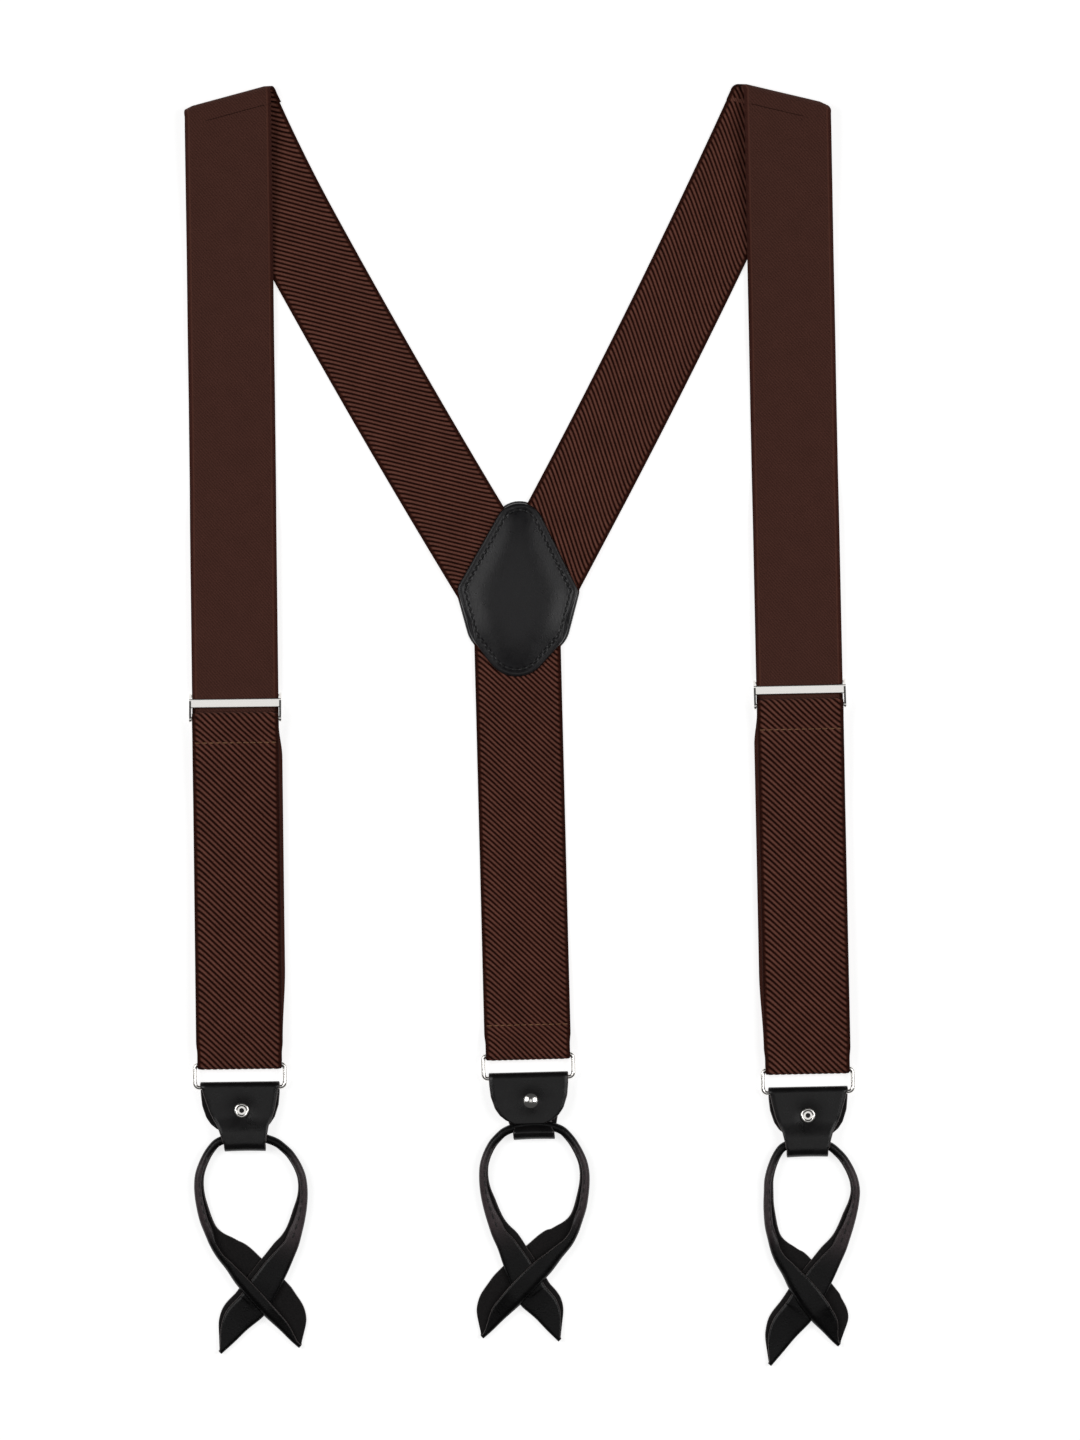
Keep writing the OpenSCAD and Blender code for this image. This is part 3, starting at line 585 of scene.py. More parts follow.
# places below the adjuster's bar, and the lengths over which the strap lifts and stays level
adjuster = {"barBelowPin": 3.0 * mm, "hemBar": 6.2 * mm, "hemBarLevel": 6.2 * mm, "hemRadius": 1.6 * mm,
            "hemReach": 2.3 * mm, "tailEnd": 20.0 * mm, "pinched": 13.0 * mm, "seam": 15.0 * mm,
            "hemEnd": 22.0 * mm, "split": 28.0 * mm, "liftLength": 66.0 * mm, "travel": 44.0 * mm}
frontRun = {"onBackRun": (8 * mm, 70 * mm), "toTable": (92 * mm, 120 * mm), "climb": 26 * mm}
ringFold = {"radius": 1.8 * mm, "start": 9.0 * mm, "level": 3.5 * mm, "squeeze": 0.024}
rearPeek = {"left": 1.3 * mm, "right": -1.3 * mm, "from": 9 * mm, "over": 13 * mm, "back": 30 * mm}
hemTop = adjuster["hemBarLevel"] - adjuster["hemRadius"] + (webbing["thickness"] + 0.05) * mm


def squeezeAtRing(ringDrop):
    # the webbing draws in slightly where it goes round the ring
    return lambda along: 1 - ringFold["squeeze"] * ease((along - ringDrop + ringFold["start"]) / (5 * mm))


def frontStrap(side):
    # smooth side up: off the crease, down to the table, and up again over the closed lever
    run, lead = runs[side], shoulderBend["lead"]
    bar = run["pinDrop"] + adjuster["barBelowPin"]
    foldTop = run["foldZ"] + shoulderBend["radius"]
    lifted = bar - adjuster["liftLength"]
    path = pathAlong([[-lead, foldTop]] + slope(*frontRun["onBackRun"], foldTop, levels["onBackRun"])
                     + slope(*frontRun["toTable"], levels["onBackRun"], levels["table"])
                     + slope(lifted - frontRun["climb"], lifted, levels["table"], levels["overLever"])
                     + [[bar + adjuster["split"] + 10 * mm, levels["overLever"]]])
    flap = shoulderBend["flap"] * math.sqrt(1 + run["skew"] ** 2)
    peekAt = bar + rearPeek["from"]
    lay = layOnPath(run, path, ribsUp=False, bow=lambda along: (
        rearPeek[side] * ease((along - peekAt) / rearPeek["over"])))
    end = bar + adjuster["split"] + path["length"] - float(path["line"][-1][0] + lead)
    piece = weaveStrap(side + "_front_strap", flap + lead, end + lead, lay, run["skew"], 0.0)
    finishPiece(piece, side + "_front", "webbing", side + "_front_webbing")


def lowerStrap(side):
    # the hidden rear layer from the adjuster down to the ring
    run = runs[side]
    start = run["pinDrop"] + adjuster["barBelowPin"] + adjuster["split"]
    stop = run["ringDrop"] - ringFold["start"]
    low = ringFold["level"] - ringFold["radius"]
    path = pathAlong([[start, levels["overLever"]]] + slope(
        start + adjuster["travel"], stop - 6 * mm, levels["overLever"], low) + [[stop, low]])
    piece = weaveStrap(side + "_lower_strap", 0.0, path["length"], layOnPath(
        run, path, ribsUp=False, bow=lambda along: rearPeek[side] * ease((stop - along) / rearPeek["back"])))
    finishBlend(piece, side + "_front", side + "_strap_end", pointDown(run, start), pointDown(run, stop),
                side + "_lower_webbing")


def doubledEnd(side):
    # ribbed side up: from the tail behind the hem, round the hem bar, down, round the ring and a little back
    run = runs[side]
    bar = run["pinDrop"] + adjuster["barBelowPin"]
    hemAt, hemLevel, hemRadius = bar + adjuster["hemBar"], adjuster["hemBarLevel"], adjuster["hemRadius"]
    ringAt, ringLevel, ringRadius = run["ringDrop"], ringFold["level"], ringFold["radius"]
    hem = halfTurn(hemAt, hemLevel, -adjuster["hemReach"], -hemRadius)
    wrap = halfTurn(ringAt, ringLevel, ringRadius, ringRadius)
    resting = levels["overLever"] + (webbing["thickness"] + 0.2) * mm
    start, stop = bar + adjuster["hemEnd"], ringAt - ringFold["start"]
    returning = [[start + (stop - start) * k / 24, hemTop + (resting - hemTop) * float(ease(k / 5))
                  + (ringLevel + ringRadius - resting) * float(ease((k - 8) / 15))] for k in range(25)]
    tail = [[bar + adjuster["tailEnd"], hemLevel - hemRadius], [hemAt + 3 * mm, hemLevel - hemRadius]]
    overHem = [[hemAt + 3 * mm, hemLevel + hemRadius - 0.4 * mm],
               [bar + adjuster["pinched"], hemTop + 0.35 * mm], [bar + adjuster["seam"], hemTop]]
    path = pathAlong(tail + hem + overHem + returning + wrap + [[stop, ringLevel - ringRadius]])
    lay = layOnPath(run, path, narrowed=squeezeAtRing(ringAt))
    piece = weaveStrap(side + "_doubled_end", 0.0, path["length"], lay, ribPitch=webbing["stretchedPitch"])
    finishBlend(piece, side + "_strap_end", side + "_adjuster", pointDown(run, stop), pointDown(run, start),
                side + "_ring_webbing", side + "_return_webbing", side + "_hem_webbing")
    run["seamAt"], run["seamLevel"] = bar + adjuster["seam"] + 1 * mm, hemTop + webbing["thickness"] / 2 * mm


def centreStrap():
    # ribbed side up: from under the patch to the back ring, round it and under itself
    run = runs["back"]
    drop, radius, level = run["ringDrop"], ringFold["radius"], ringFold["level"]
    top = 2.1 * mm  # where it lies on its own turned end
    wrap = halfTurn(drop, level, radius, radius)
    path = pathAlong([[0, levels["underPatch"]]]
                     + slope(28 * mm, 41 * mm, levels["underPatch"], levels["table"])
                     + slope(drop - 60 * mm, drop - 24 * mm, levels["table"], top)
                     + [[drop - 14 * mm, top], [drop - 10 * mm, 2.6 * mm], [drop - 5 * mm, 4.8 * mm]] + wrap
                     + [[drop - 5 * mm, 1.35 * mm], [drop - 10 * mm, 0.75 * mm], [drop - 15 * mm, 0.67 * mm]])
    lay = layOnPath(run, path, narrowed=squeezeAtRing(drop))
    piece = weaveStrap("centre_strap", 0.0, path["length"], lay)
    finishPiece(piece, "back", "webbing", "centre_webbing")
    run["seamAt"], run["seamLevel"] = drop - 12 * mm, top + webbing["thickness"] / 2 * mm + 0.15 * mm


for side in sideSign:
    backRun(side)
    shoulderFold(side)
    frontStrap(side)
    lowerStrap(side)
    doubledEnd(side)
centreStrap()
print("webbing laid")


# stitches
def makeStitchTree():
    # short threads spaced along a guide line
    tree, given, out = treeWithInputs("stitchRow", [
        ("Pitch", "Float"), ("Length", "Float"), ("Radius", "Float"), ("Seed", "Int"),
        ("Thread", "Material")], geometry=True)
    curve = addNode(tree, "GeometryNodeMeshToCurve", {"Mesh": given["Geometry"]})
    spaced = addNode(
        tree, "GeometryNodeResampleCurve", {"Curve": curve, "Length": given["Pitch"]}, mode="LENGTH")
    bead = addNode(tree, "GeometryNodeMeshUVSphere", {"Segments": 8, "Rings": 6, "Radius": 1.0})
    tangent = addNode(tree, "GeometryNodeInputTangent")
    along = addNode(tree, "FunctionNodeAlignRotationToVector", {"Vector": tangent}, axis="X")
    unevenness = addNode(tree, "FunctionNodeRandomValue", {"Seed": given["Seed"]}, data_type="FLOAT")
    unevenness.inputs[2].default_value, unevenness.inputs[3].default_value = 0.9, 1.08
    half = addNode(tree, "ShaderNodeMath", [given["Length"], 0.5], operation="MULTIPLY")
    reach = addNode(tree, "ShaderNodeMath", [half, unevenness.outputs[1]], operation="MULTIPLY")
    size = addNode(tree, "ShaderNodeCombineXYZ", [reach, given["Radius"], given["Radius"]])
    threads = addNode(tree, "GeometryNodeInstanceOnPoints", {
        "Points": spaced, "Instance": bead, "Rotation": along, "Scale": size})
    real = addNode(tree, "GeometryNodeRealizeInstances", [threads])
    smooth = addNode(tree, "GeometryNodeSetShadeSmooth", {"Geometry": real})
    coloured = addNode(tree, "GeometryNodeSetMaterial", {"Geometry": smooth, "Material": given["Thread"]})
    linkTo(tree, coloured, out.inputs["Geometry"])
    return tree


stitchTree = makeStitchTree()


def sewRow(name, rows, thread, sizes, closed=False, seed=1):
    # one or more rows of stitches as one piece; sizes are pitch, length and radius in mm
    pitch, length, radius = (size * mm for size in sizes)
    guide = bpy.data.meshes.new(name + "_guide")
    points, edges = [], []
    for row in rows:
        first = len(points)
        points += [tuple(p) for p in row]
        edges += [(first + k, first + k + 1) for k in range(len(row) - 1)]
        if closed:
            edges.append((len(points) - 1, first))
    guide.from_pydata(points, edges, [])
    return growPiece(name, stitchTree, {
        "Pitch": pitch, "Length": length, "Radius": radius, "Seed": seed, "Thread": thread}, guide)


hemSeam = {"half": 15.4, "step": 0.4, "proud": 0.05 * mm, "stitch": (2.6, 2.3, 0.27)}
for side, body in (("left", "left_adjuster"), ("right", "right_adjuster"), ("back", "back")):
    run = runs[side]
    middle = pointDown(run, run["seamAt"], run["seamLevel"] + hemSeam["proud"])
    places = np.arange(-hemSeam["half"], hemSeam["half"] + 0.1, hemSeam["step"])
    row = [middle + run["across"] * x * mm for x in places]
    seam = sewRow(side + "_hem_stitches", [row], brownThread, hemSeam["stitch"], seed=3)
    finishPiece(seam, body, "brown_thread", "centre_hem_thread" if side == "back" else side + "_hem_thread")


# back patch, in mm: six corner circles (x, y, radius), two thicknesses, and the seam
patch = {"corners": ((0.6, 25.2, 10.8), (-20, 0.2, 5.2), (-9, -14, 12), (-0.6, -22, 14), (9.2, -14, 12),
                     (19.7, -0.6, 5.2)),
         "backing": 1.2, "leather": 1.15, "inset": 0.8, "dome": 1.9, "gap": 0.05, "halfWebbing": 17.4,
         "webbingLift": 1.3, "seam": 3.7, "stitch": (3.0, 2.0, 0.38), "sunk": 0.22}


def kiteOutline(inset, count):
    # the line round the corner circles, in even steps
    corners = np.array(patch["corners"], float)
    angles = np.linspace(0, 2 * math.pi, 2880, endpoint=False)
    ways = np.stack([np.cos(angles), np.sin(angles)])
    radii = corners[:, 2:] - inset
    nearest = np.argmax(corners[:, :2] @ ways + radii, axis=0)
    line = corners[nearest, :2] + ways.T * radii[nearest]
    line = np.concatenate([line, line[:1]])
    lengths = runningLength(line)
    at = np.linspace(0, lengths[-1], count, endpoint=False)
    return resampled(line, lengths, at), at, lengths[-1]


def stitchCount(inset):
    return round(kiteOutline(inset, 100)[2] / patch["stitch"][0])


def overWebbing(points):
    # 1 over a run of webbing, falling to 0 beside it; the leather bridges the fork at the top
    bare = np.ones(len(points))
    beside = 2.6 + 4.4 * ease((points[:, 1] - 8) / 12)
    for way in (-runs["left"]["diagonal"]["down"], -runs["right"]["diagonal"]["down"], runs["back"]["down"]):
        rel = points - junction[:2] / mm
        along, aside = rel @ way[:2], rel @ np.array([-way[1], way[0]])
        over = 1 - ease((np.abs(aside) - patch["halfWebbing"]) / beside)
        bare = bare * (1 - over * ease((along + 3) / 3))
    return 1 - bare


def leatherKite(name, inset, low, rise, material):
    # a closed kite of leather from rings that shrink towards its middle and crowd together near the rim
    shares = np.concatenate([np.linspace(0, 0.25, 46), np.linspace(0.28, 0.97, 20)])
    outline, at, length = kiteOutline(inset, 8 * stitchCount(inset))
    columns = len(outline)
    rings = (1 - shares)[:, None, None] * outline[None]
    flat = rings.reshape(-1, 2)
    # the distance to the rim, and a softer one that has no ridges
    least = 0.05
    away = [np.linalg.norm(outline - point, axis=1) + least for point in flat]
    fromEdge = np.array([max(np.min(row) - least, 0) for row in away])
    deep = np.array([np.mean(row ** -3.0) ** (-1 / 3) for row in away])
    tops = low(flat) + rise(fromEdge, deep / deep.max(), np.tile(at / length, len(shares)))
    under = low(flat)
    vertices = np.concatenate([np.column_stack([flat, tops]), np.column_stack([flat, under])])
    middle = np.zeros((1, 2))
    peak = tops[-columns:].mean()
    vertices = np.concatenate([vertices, [[0, 0, peak], [0, 0, float(low(middle)[0])]]]) * mm
    count, faces = len(flat), []
    for k in range(len(shares) - 1):
        for c in range(columns):
            a, b, d = k * columns + c, k * columns + (c + 1) % columns, (k + 1) * columns + c
            e = (k + 1) * columns + (c + 1) % columns
            faces += [(a, b, e, d), (count + a, count + d, count + e, count + b)]
    last = (len(shares) - 1) * columns
    for c in range(columns):
        n = (c + 1) % columns
        faces += [(last + c, last + n, 2 * count), (count + last + n, count + last + c, 2 * count + 1)]
        faces.append((c, count + c, count + n, n))
    piece = meshPiece(name, vertices, faces, material)
    sealMesh(piece, 1e-7)
    return piece


def roundedEdge(fromEdge, thickness):
    # a cut edge that is rounded over its outer half millimetre
    return thickness * np.sqrt(np.clip(1 - (1 - np.clip(fromEdge / 0.5, 0, 1)) ** 2, 0, 1))


def puffedFace(fromEdge, deep, share):
    # a raised rim, a fine groove that dips at each stitch, and a padded middle
    beat = 0.5 + 0.5 * np.cos(2 * math.pi * share * stitchCount(patch["inset"]))
    seam = patch["seam"] - patch["inset"]
    groove = -(0.04 + 0.3 * beat) * np.exp(-((fromEdge - seam) / 0.45) ** 2)
    rim = 0.25 * np.exp(-((fromEdge - 1.3) / 0.9) ** 2)
    dome = patch["dome"] * ease((deep - 0.36) / 0.64) ** 0.75
    return roundedEdge(fromEdge, patch["leather"]) + groove + rim + dome


def faceLow(points):
    # the underside of the face leather
    return patch["backing"] + patch["gap"] + (patch["webbingLift"] + patch["gap"]) * overWebbing(points)


patchFace = leatherKite("patch_leather", patch["inset"], faceLow, puffedFace, patchLeather)
finishPiece(patchFace, "back", "leather", "patch_face")
backing = leatherKite("patch_backing_leather", 0.0, lambda points: np.zeros(len(points)),
                      lambda fromEdge, deep, share: roundedEdge(fromEdge, patch["backing"]), patchLeather)
finishPiece(backing, "back", "leather", "patch_backing")
seamLine = kiteOutline(patch["seam"], 400)[0]
seamRow = np.column_stack([seamLine, faceLow(seamLine) + patch["leather"] - patch["sunk"]]) * mm
patchSeam = sewRow("patch_stitches", [seamRow], blackThread, patch["stitch"], closed=True)
finishPiece(patchSeam, "back", "black_thread", "patch_thread")
print("patch made")


# leather tabs, in mm; body and flap give half widths at places below the ring's lower bar
tabs = {"thickness": 1.3, "barRadius": 1.7, "neckRadius": 2.65,
        "rivetDrop": 9.3, "dimple": 0.75, "dimpleSize": 4.6,
        "body": ((-2.4, 16.1), (2.5, 15.1), (9.7, 13.2), (13, 11.8), (15.6, 10.4), (19.9, 9.3), (24.6, 8.5)),
        "flap": ((-2, 16.1), (2.5, 16.0), (7.3, 15.5), (12.2, 13.9), (15, 12.0), (17, 9.6), (18.6, 6.0)),
        "atBar": 16.1, "atNeck": 8.4, "behind": 7.8, "step": 0.6, "edge": 0.35,
        "neckDrop": {"left": 22.5, "right": 22.8, "back": 21.6},
        "neckShift": {"left": 1.6, "right": -0.7, "back": 1.5}}
ringPitch, chainLevel = 9.4, 3.5  # between a ring's two bars, and the height of tab and ring above the table


def tabPoint(side, points):
    # from x across, y down from the ring's lower bar, and z above the table
    run = runs[side]
    start = pointDown(run, run["ringDrop"] + ringPitch * mm)
    return start + points @ np.array([run["across"], run["down"], up]) * mm


def sweepSection(name, rings, faceSlots, materials, rubbed=None):
    # joins rings of equal size into a closed skin
    steps, size = rings.shape[:2]
    faces = [(k * size + c, k * size + (c + 1) % size, (k + 1) * size + (c + 1) % size, (k + 1) * size + c)
             for k in range(steps - 1) for c in range(size)]
    slots = list(faceSlots) * (steps - 1)
    faces += [tuple(range(size)), tuple((steps - 1) * size + c for c in reversed(range(size)))]
    endSlot = len(materials) - 1
    piece = meshPiece(name, rings.reshape(-1, 3), faces, materials[0])
    for extra in materials[1:]:
        piece.data.materials.append(extra)
    piece.data.polygons.foreach_set("material_index", slots + [endSlot] * 2)
    # this point value lightens the leather: partly wear, partly a painted sheen
    if rubbed is not None:
        piece.data.attributes.new("rubbed", "FLOAT", "POINT").data.foreach_set("value", rubbed.ravel())
    sealMesh(piece, 1e-7)
    return piece


def makeTab(side):
    # the leather runs from the flap's tip over the bar, down to the neck and back up behind
    neck, shift = tabs["neckDrop"][side], tabs["neckShift"][side]
    facing = -1 if side == "back" else 1
    body, flap = np.array(tabs["body"]), np.array(tabs["flap"])
    bar, wide, step, segments = tabs["barRadius"], tabs["neckRadius"], tabs["step"], 16
    turn = np.linspace(0, math.pi, 15)
    rows = [(y, -bar - 0.3 * float(ease((y - 8) / 10)), np.interp(y, *flap.T))
            for y in np.arange(flap[-1, 0], 0, -step)]
    flapEnd = len(rows)
    rows += [(-bar * math.sin(a), -bar * math.cos(a), tabs["atBar"]) for a in turn]
    rows += [(y, bar + (wide - bar) * float(ease((y - 11) / 8)), np.interp(y, *body.T))
             for y in np.arange(step, neck - step / 2, step)]
    rows += [(neck + wide * math.sin(a), wide * math.cos(a), tabs["atNeck"]) for a in turn]
    # above the neck the layer behind comes up against the front one
    rows += [(y, -wide + (wide - 0.05) * float(ease((22.5 - y) / 4.5)), tabs["behind"])
             for y in np.arange(neck - 1, 6, -step)]
    rows = np.array(rows)
    line = pathAlong(rows[:, :2], spacing=0.45, rounding=1)
    lengths = runningLength(rows[:, :2])
    half = np.interp(line["at"], lengths, rows[:, 2])
    isFlap = line["at"] < lengths[flapEnd]
    # across the leather: place, side of its middle, and how far the edge bulges
    edge = [(1, 0.62, 0.25), (1, 0, tabs["edge"]), (1, -0.62, 0.25)]
    section = [(u, 1.0, 0) for u in np.linspace(-1, 1, segments + 1)] + edge
    section += [(-u, -level, out) for u, level, out in section]
    rings = np.zeros((len(line["at"]), len(section), 3))
    for c, (u, level, out) in enumerate(section):
        x = u * (half - tabs["edge"] + out)
        y, z = (line["line"] + line["normal"] * level * tabs["thickness"] / 2).T
        # the neck's fold follows the roll that runs through it
        y = y + 0.2 * (x / 8) ** 2 * ease((y - neck + 4) / 4)
        rings[:, c] = np.stack([x + np.where(isFlap, 0, shift / neck * np.clip(y, 0, None)), y, z], axis=1)
    # the rivet pulls both outer faces in round it
    away = np.hypot(rings[..., 0] - shift / neck * tabs["rivetDrop"], rings[..., 1] - tabs["rivetDrop"])
    dimple = tabs["dimple"] * np.exp(-(away / tabs["dimpleSize"]) ** 2) * (np.abs(rings[..., 2]) > 0.9)
    rings[..., 2] -= np.sign(rings[..., 2]) * dimple
    rings[..., 2] = chainLevel + facing * rings[..., 2]
    placed = tabPoint(side, rings.reshape(-1, 3)).reshape(rings.shape)
    slots = [0] * segments + [2] * 4 + [1] * segments + [2] * 4
    piece = sweepSection(side + "_tab_leather", placed, slots, (calfLeather, fleshSide, leatherEdge))
    finishPiece(piece, side + "_tab", "leather", side + "_tab")


# button loops: one folded leather strip each, with its crease on the outside of the loop
loopShape = {
    # x, y, width of the back flap and of the front, level of the back and of the front, open 0 to closed 1
    "under": (
        (-8.9, 108, 1.2, 1.0, 0.7, 1.95, 0), (-3.4, 103.2, 10, 8.5, 0.7, 1.95, 0),
        (1.5, 98.4, 14, 12, 0.8, 2.1, 0), (8.7, 92.9, 15, 13, 1.3, 2.7, 0),
        (14.5, 83, 14, 12, 2.0, 3.35, 0), (18.8, 74.4, 12, 10, 2.0, 3.4, 0),
        (20.9, 69.5, 10.5, 8, 1.9, 3.5, 0.1), (23, 64.7, 9, 6, 1.7, 3.6, 0.4),
        (24.3, 59.8, 6.9, 5.6, 1.5, 3.7, 0.9), (25.5, 55, 6.2, 4.4, 1.5, 3.7, 0.9),
        (26.4, 50.1, 5.6, 3.9, 1.6, 3.8, 0.9), (26.9, 45.3, 4.4, 3.1, 1.8, 4.0, 0.9),
        (26.9, 40.4, 3.8, 2.8, 2.0, 4.3, 0.9), (26.2, 35.5, 3.6, 2.7, 2.2, 4.5, 0.9),
        (24.2, 30.7, 3.5, 2.7, 2.3, 4.6, 0.9), (21, 25.7, 3.5, 2.8, 2.35, 4.65, 1),
        (15.4, 20.8, 3.4, 3.4, 2.35, 4.65, 1), (8.6, 18.4, 3.4, 3.4, 2.35, 4.65, 1)),
    "over": (
        (2.2, 17.7, 3.4, 3.4, 2.35, 4.65, 1), (-4.5, 18.3, 3.4, 3.4, 2.35, 4.65, 1),
        (-10.9, 20.8, 3.4, 3.4, 2.35, 4.65, 1), (-14.6, 25.3, 3.5, 2.8, 2.35, 4.65, 1),
        (-17.1, 30.2, 3.6, 2.7, 2.3, 4.6, 0.9), (-18.8, 35, 3.8, 2.7, 2.2, 4.5, 0.9),
        (-19.2, 39.9, 4.0, 2.8, 2.0, 4.3, 0.9), (-18.9, 44.7, 4.3, 3.0, 1.7, 4.1, 0.9),
        (-18.1, 49.6, 4.9, 3.2, 1.3, 4.0, 0.9), (-17, 54.5, 5.3, 3.2, 0.9, 3.9, 0.8),
        (-15, 59.4, 5.4, 3.6, 0.7, 3.9, 0.4), (-13.1, 64.2, 9, 2.6, 0.7, 4.0, 0),
        (-10.3, 69, 11.5, 2.8, 0.7, 4.3, 0), (-6.3, 74, 13.5, 3.8, 0.7, 4.6, 0),
        (-3.3, 79, 15, 5.2, 0.7, 4.7, 0), (2.4, 86, 16, 5.8, 0.7, 4.7, 0),
        (8.7, 92.9, 16, 5.6, 0.7, 4.4, 0), (14.9, 98.6, 14, 4.6, 0.7, 3.0, 0),
        (19.3, 103.2, 9.5, 2.6, 0.7, 2.2, 0), (22.5, 106, 1.2, 1.0, 0.7, 1.95, 0)),
    "thickness": 1.2, "points": 380, "roundOver": 15, "atNeck": 17,
    "leanAt": (20, 40, 70, 93, 108), "middle": (2.2, 3.9, 8.7, 8.7, 6.8),
    "seamColumn": -6, "seamProud": 0.1, "seamBelow": 28, "stitch": (3.4, 2.2, 0.3)}
# each loop: mirrored or not, its width, its lean at the places above, its skew, how wide its front flap is,
# and how much nearer it sits to the strap
loops = {
    "left": {"mirror": 1, "wide": 1.0, "lean": (0, 0, 0, 0, 0), "skew": 0.0, "flap": 1.0, "raised": 0.0},
    "right": {"mirror": 1, "wide": 0.85, "lean": (-3.4, -3, -7.4, -9.2, -10.6), "skew": 0.2, "flap": 1.8,
              "raised": 0.0},
    "back": {"mirror": -1, "wide": 0.975, "lean": (3.6, 5.2, 6.4, 2.8, 0.9), "skew": 0.0, "flap": 1.5,
             "raised": 0.8}}


def loopStations(side):
    # the shared table, leant and widened for one loop
    given = loops[side]
    rows = np.array(loopShape["under"] + loopShape["over"], float)
    over = np.arange(len(rows)) >= len(loopShape["under"])
    rows[:, 3] *= 1 + (given["flap"] - 1) * over * ease((rows[:, 1] - 56) / 14) * ease((107 - rows[:, 1]) / 8)
    middle = np.interp(rows[:, 1], loopShape["leanAt"], loopShape["middle"])
    aside = (rows[:, 0] - middle) * given["wide"]
    rows[:, 1] -= given["skew"] * aside * ease((rows[:, 1] - 72) / 30)
    lean = np.interp(rows[:, 1], loopShape["leanAt"], given["lean"])
    rows[:, 0] = given["mirror"] * (middle + aside) + lean
    rows[:, 1] -= given["raised"]
    return rows


def makeLoop(side):
    # a strip of leather folded along its crease and swept from one end of the loop to the other
    rows = loopStations(side)
    lengths = runningLength(rows[:, :2])
    at = np.linspace(0, lengths[-1], loopShape["points"])
    kernel = np.hanning(loopShape["roundOver"])[1:-1]
    values = smoothRows(resampled(rows, lengths, at), kernel / kernel.sum())
    crease, backWide, frontWide, low, high, closed = values[:, :2], *values[:, 2:].T
    way = np.gradient(crease, axis=0)
    way /= np.linalg.norm(way, axis=1, keepdims=True)
    inward = loops[side]["mirror"] * np.stack([way[:, 1], -way[:, 0]], axis=1)
    radius, centre, half = (high - low) / 2, (high + low) / 2, loopShape["thickness"] / 2
    edge, least = 0.3, 0.2  # the rounded edge, and the narrowest flap
    crease = crease + inward * half
    # the leather's middle line from the back flap's edge, round the crease, to the front flap's edge
    shares = np.linspace(0, 1, 9)
    closing = closed * (radius - half)

    def flap(wide, level, share):
        reach = radius + np.maximum(wide - half - edge - radius, least) * share
        return np.stack([reach, level * share ** 2], axis=1)

    back = [flap(backWide, closing, share) + np.outer(low, (0, 1)) for share in shares[::-1]]
    bend = [np.stack([radius - radius * math.sin(angle), centre - radius * math.cos(angle)], axis=1)
            for angle in np.linspace(0, math.pi, 11)[1:-1]]
    front = [flap(frontWide, -closing, share) + np.outer(high, (0, 1)) for share in shares]
    middle = np.stack(back + bend + front, axis=1)
    tangent = np.gradient(middle, axis=1)
    tangent /= np.maximum(np.linalg.norm(tangent, axis=2, keepdims=True), 1e-6)
    normal = np.stack([-tangent[..., 1], tangent[..., 0]], axis=2)
    outer, inner = middle + normal * half, middle - normal * half
    firstEdge = middle[:, :1] - tangent[:, :1] * edge
    lastEdge = middle[:, -1:] + tangent[:, -1:] * edge
    section = np.concatenate([firstEdge, outer, lastEdge, inner[:, ::-1]], axis=1)
    section[..., 1] = np.maximum(section[..., 1], 0.02)  # clear of the table
    rings = np.concatenate([crease[:, None] + inward[:, None] * section[..., :1], section[..., 1:]], axis=2)
    count = middle.shape[1]
    slots = [2] + [0] * (count - 1) + [2, 2] + [1] * (count - 1) + [2]
    placed = tabPoint(side, rings.reshape(-1, 3)).reshape(rings.shape)
    # the rolled arms are lighter on top: partly a finish rubbed thin, partly a painted sheen where the light
    # catches the roll
    onTop = ease((section[..., 1] - centre[:, None]) / radius[:, None])
    rubbed = (closed * ease((crease[:, 1] - 24) / 10))[:, None] * onTop
    piece = sweepSection(side + "_loop_leather", placed, slots, (loopLeather, fleshSide, leatherEdge), rubbed)
    finishPiece(piece, side + "_loop", "leather", side + "_loop")
    # the roll is sewn shut along its front flap, on both arms
    sewn = closed > 0.75
    onFlap = outer[:, loopShape["seamColumn"]]
    seamLine = np.column_stack([crease + inward * onFlap[:, :1], onFlap[:, 1] + loopShape["seamProud"]])
    arms = sewn & (crease[:, 1] > loopShape["seamBelow"])
    atNeck = lengths[loopShape["atNeck"]]
    seamRows = [tabPoint(side, seamLine[arms & part]) for part in (at < atNeck, at > atNeck)]
    seam = sewRow(side + "_loop_stitches", seamRows, blackThread, loopShape["stitch"], seed=5)
    finishPiece(seam, side + "_loop", "black_thread", side + "_loop_thread")
    # the cotton cord inside the roll
    inside = sewn & (crease[:, 1] < 44)
    turns = np.linspace(0, 2 * math.pi, 9)[:-1]
    ring = np.stack([np.cos(turns), np.sin(turns)], axis=1) * 0.5
    aside = radius[inside][:, None, None] + ring[None, :, :1]
    level = centre[inside][:, None, None] + ring[None, :, 1:]
    cord = np.concatenate([crease[inside][:, None] + inward[inside][:, None] * aside, level], axis=2)
    placed = tabPoint(side, cord.reshape(-1, 3)).reshape(cord.shape)
    piece = sweepSection(side + "_cord", placed, [0] * len(turns), (cottonCord, cottonCord))
    finishPiece(piece, side + "_loop", "cord_core", side + "_loop_core")


for side in ("left", "right", "back"):
    makeTab(side)
    makeLoop(side)
print("tabs and loops made")


# metal keeps the CAD shapes
for name, node in frame["nodes"].items():
    if name.endswith(("_ring", "_rivet", "_adjuster_frame", "_adjuster_lever", "_lever_pin")):
        node.data.materials.clear()
        node.data.materials.append(nickel)


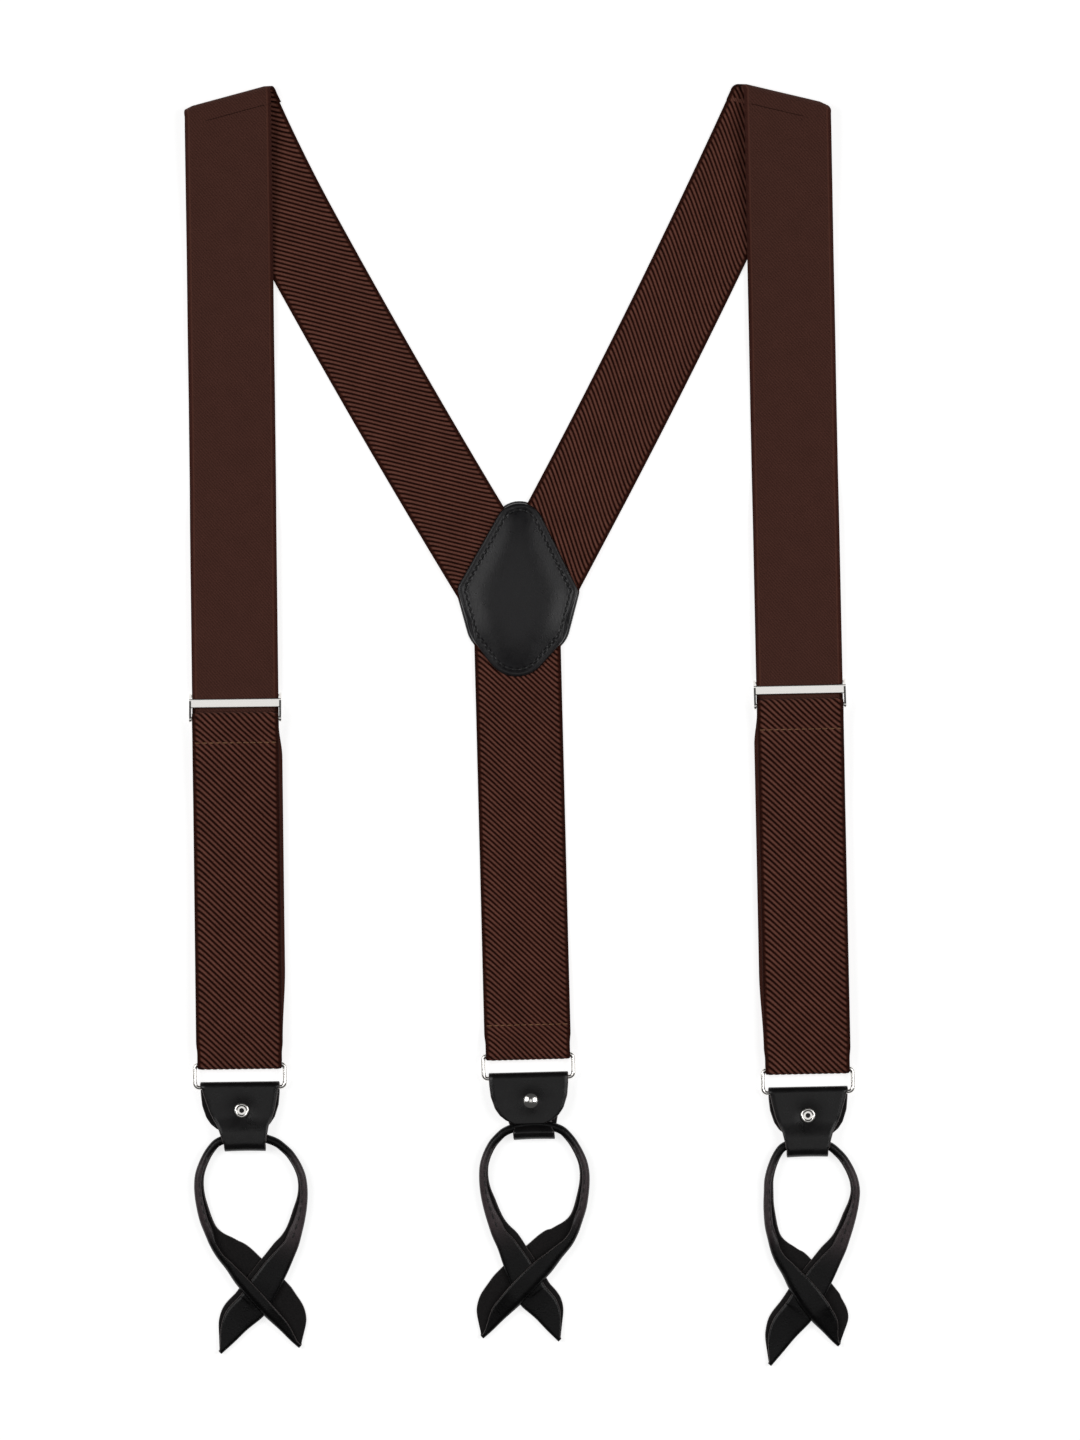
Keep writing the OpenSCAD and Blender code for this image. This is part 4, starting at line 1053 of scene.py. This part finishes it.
# table, light and camera
studio = {"viewHeight": 0.5832, "lens": 200.0, "sensor": 36.0, "centre": (0.0089, -0.0527), "far": 20.0,
          "table": 2.0, "tableDrop": 0.4 * mm, "tableGlow": 0.75, "room": 0.06, "panel": 0.9,
          "panelFrom": 0.965, "panelFull": 0.985, "aim": (0, -0.05, 0), "boxSize": 0.75,
          "boxes": {"leftBox": ((-0.85, 0.1, 1.1), 6.0), "rightBox": ((0.85, 0.0, 1.1), 5.8)}}


def setStudio():
    # matt white paper that glows a little, so that it stays white round the object
    paper = startMaterial("whitePaperSweep", Roughness=0.9, Base_Color=hexColour("#cbcbcb"),
                          Emission_Color=hexColour("#ffffff"), Emission_Strength=studio["tableGlow"])[0]
    half, level = studio["table"], -studio["tableDrop"]
    corners = [(-half, -half, level), (half, -half, level), (half, half, level), (-half, half, level)]
    meshPiece("table_top", corners, [(0, 1, 2, 3)], paper)
    world = bpy.data.worlds.new("softRoom")
    bpy.context.scene.world = world
    world.use_nodes = True
    # a bright panel straight overhead and a dim room round it, so that metal shows a dark outline
    sky = world.node_tree
    sky.nodes["Background"].inputs["Color"].default_value = hexColour("#ffffff")
    height = addNode(sky, "ShaderNodeSeparateXYZ", [addNode(sky, "ShaderNodeTexCoord")])
    strength = addNode(sky, "ShaderNodeMapRange", {
        "Value": height.outputs["Z"], "From Min": studio["panelFrom"], "From Max": studio["panelFull"],
        "To Min": studio["room"], "To Max": studio["panel"]})
    linkTo(sky, strength, sky.nodes["Background"].inputs["Strength"])
    for name, (place, power) in studio["boxes"].items():
        light = bpy.data.lights.new(name, "AREA")
        light.shape, light.size, light.energy = "SQUARE", studio["boxSize"], power
        lamp = bpy.data.objects.new(name, light)
        bpy.context.scene.collection.objects.link(lamp)
        lamp.location = place
        lamp.rotation_euler = (Vector(studio["aim"]) - Vector(place)).to_track_quat("-Z", "Y").to_euler()
    camera = bpy.data.cameras.new("camera")
    camera.lens, camera.sensor_width = studio["lens"], studio["sensor"]
    eye = bpy.data.objects.new("camera", camera)
    bpy.context.scene.collection.objects.link(eye)
    distance = studio["viewHeight"] / 2 / (studio["sensor"] / 2 / studio["lens"])
    eye.location = (*studio["centre"], distance)
    camera.clip_end = studio["far"]
    bpy.context.scene.camera = eye
    bpy.context.scene.view_settings.view_transform = "Standard"


setStudio()
print("table, light and camera set")
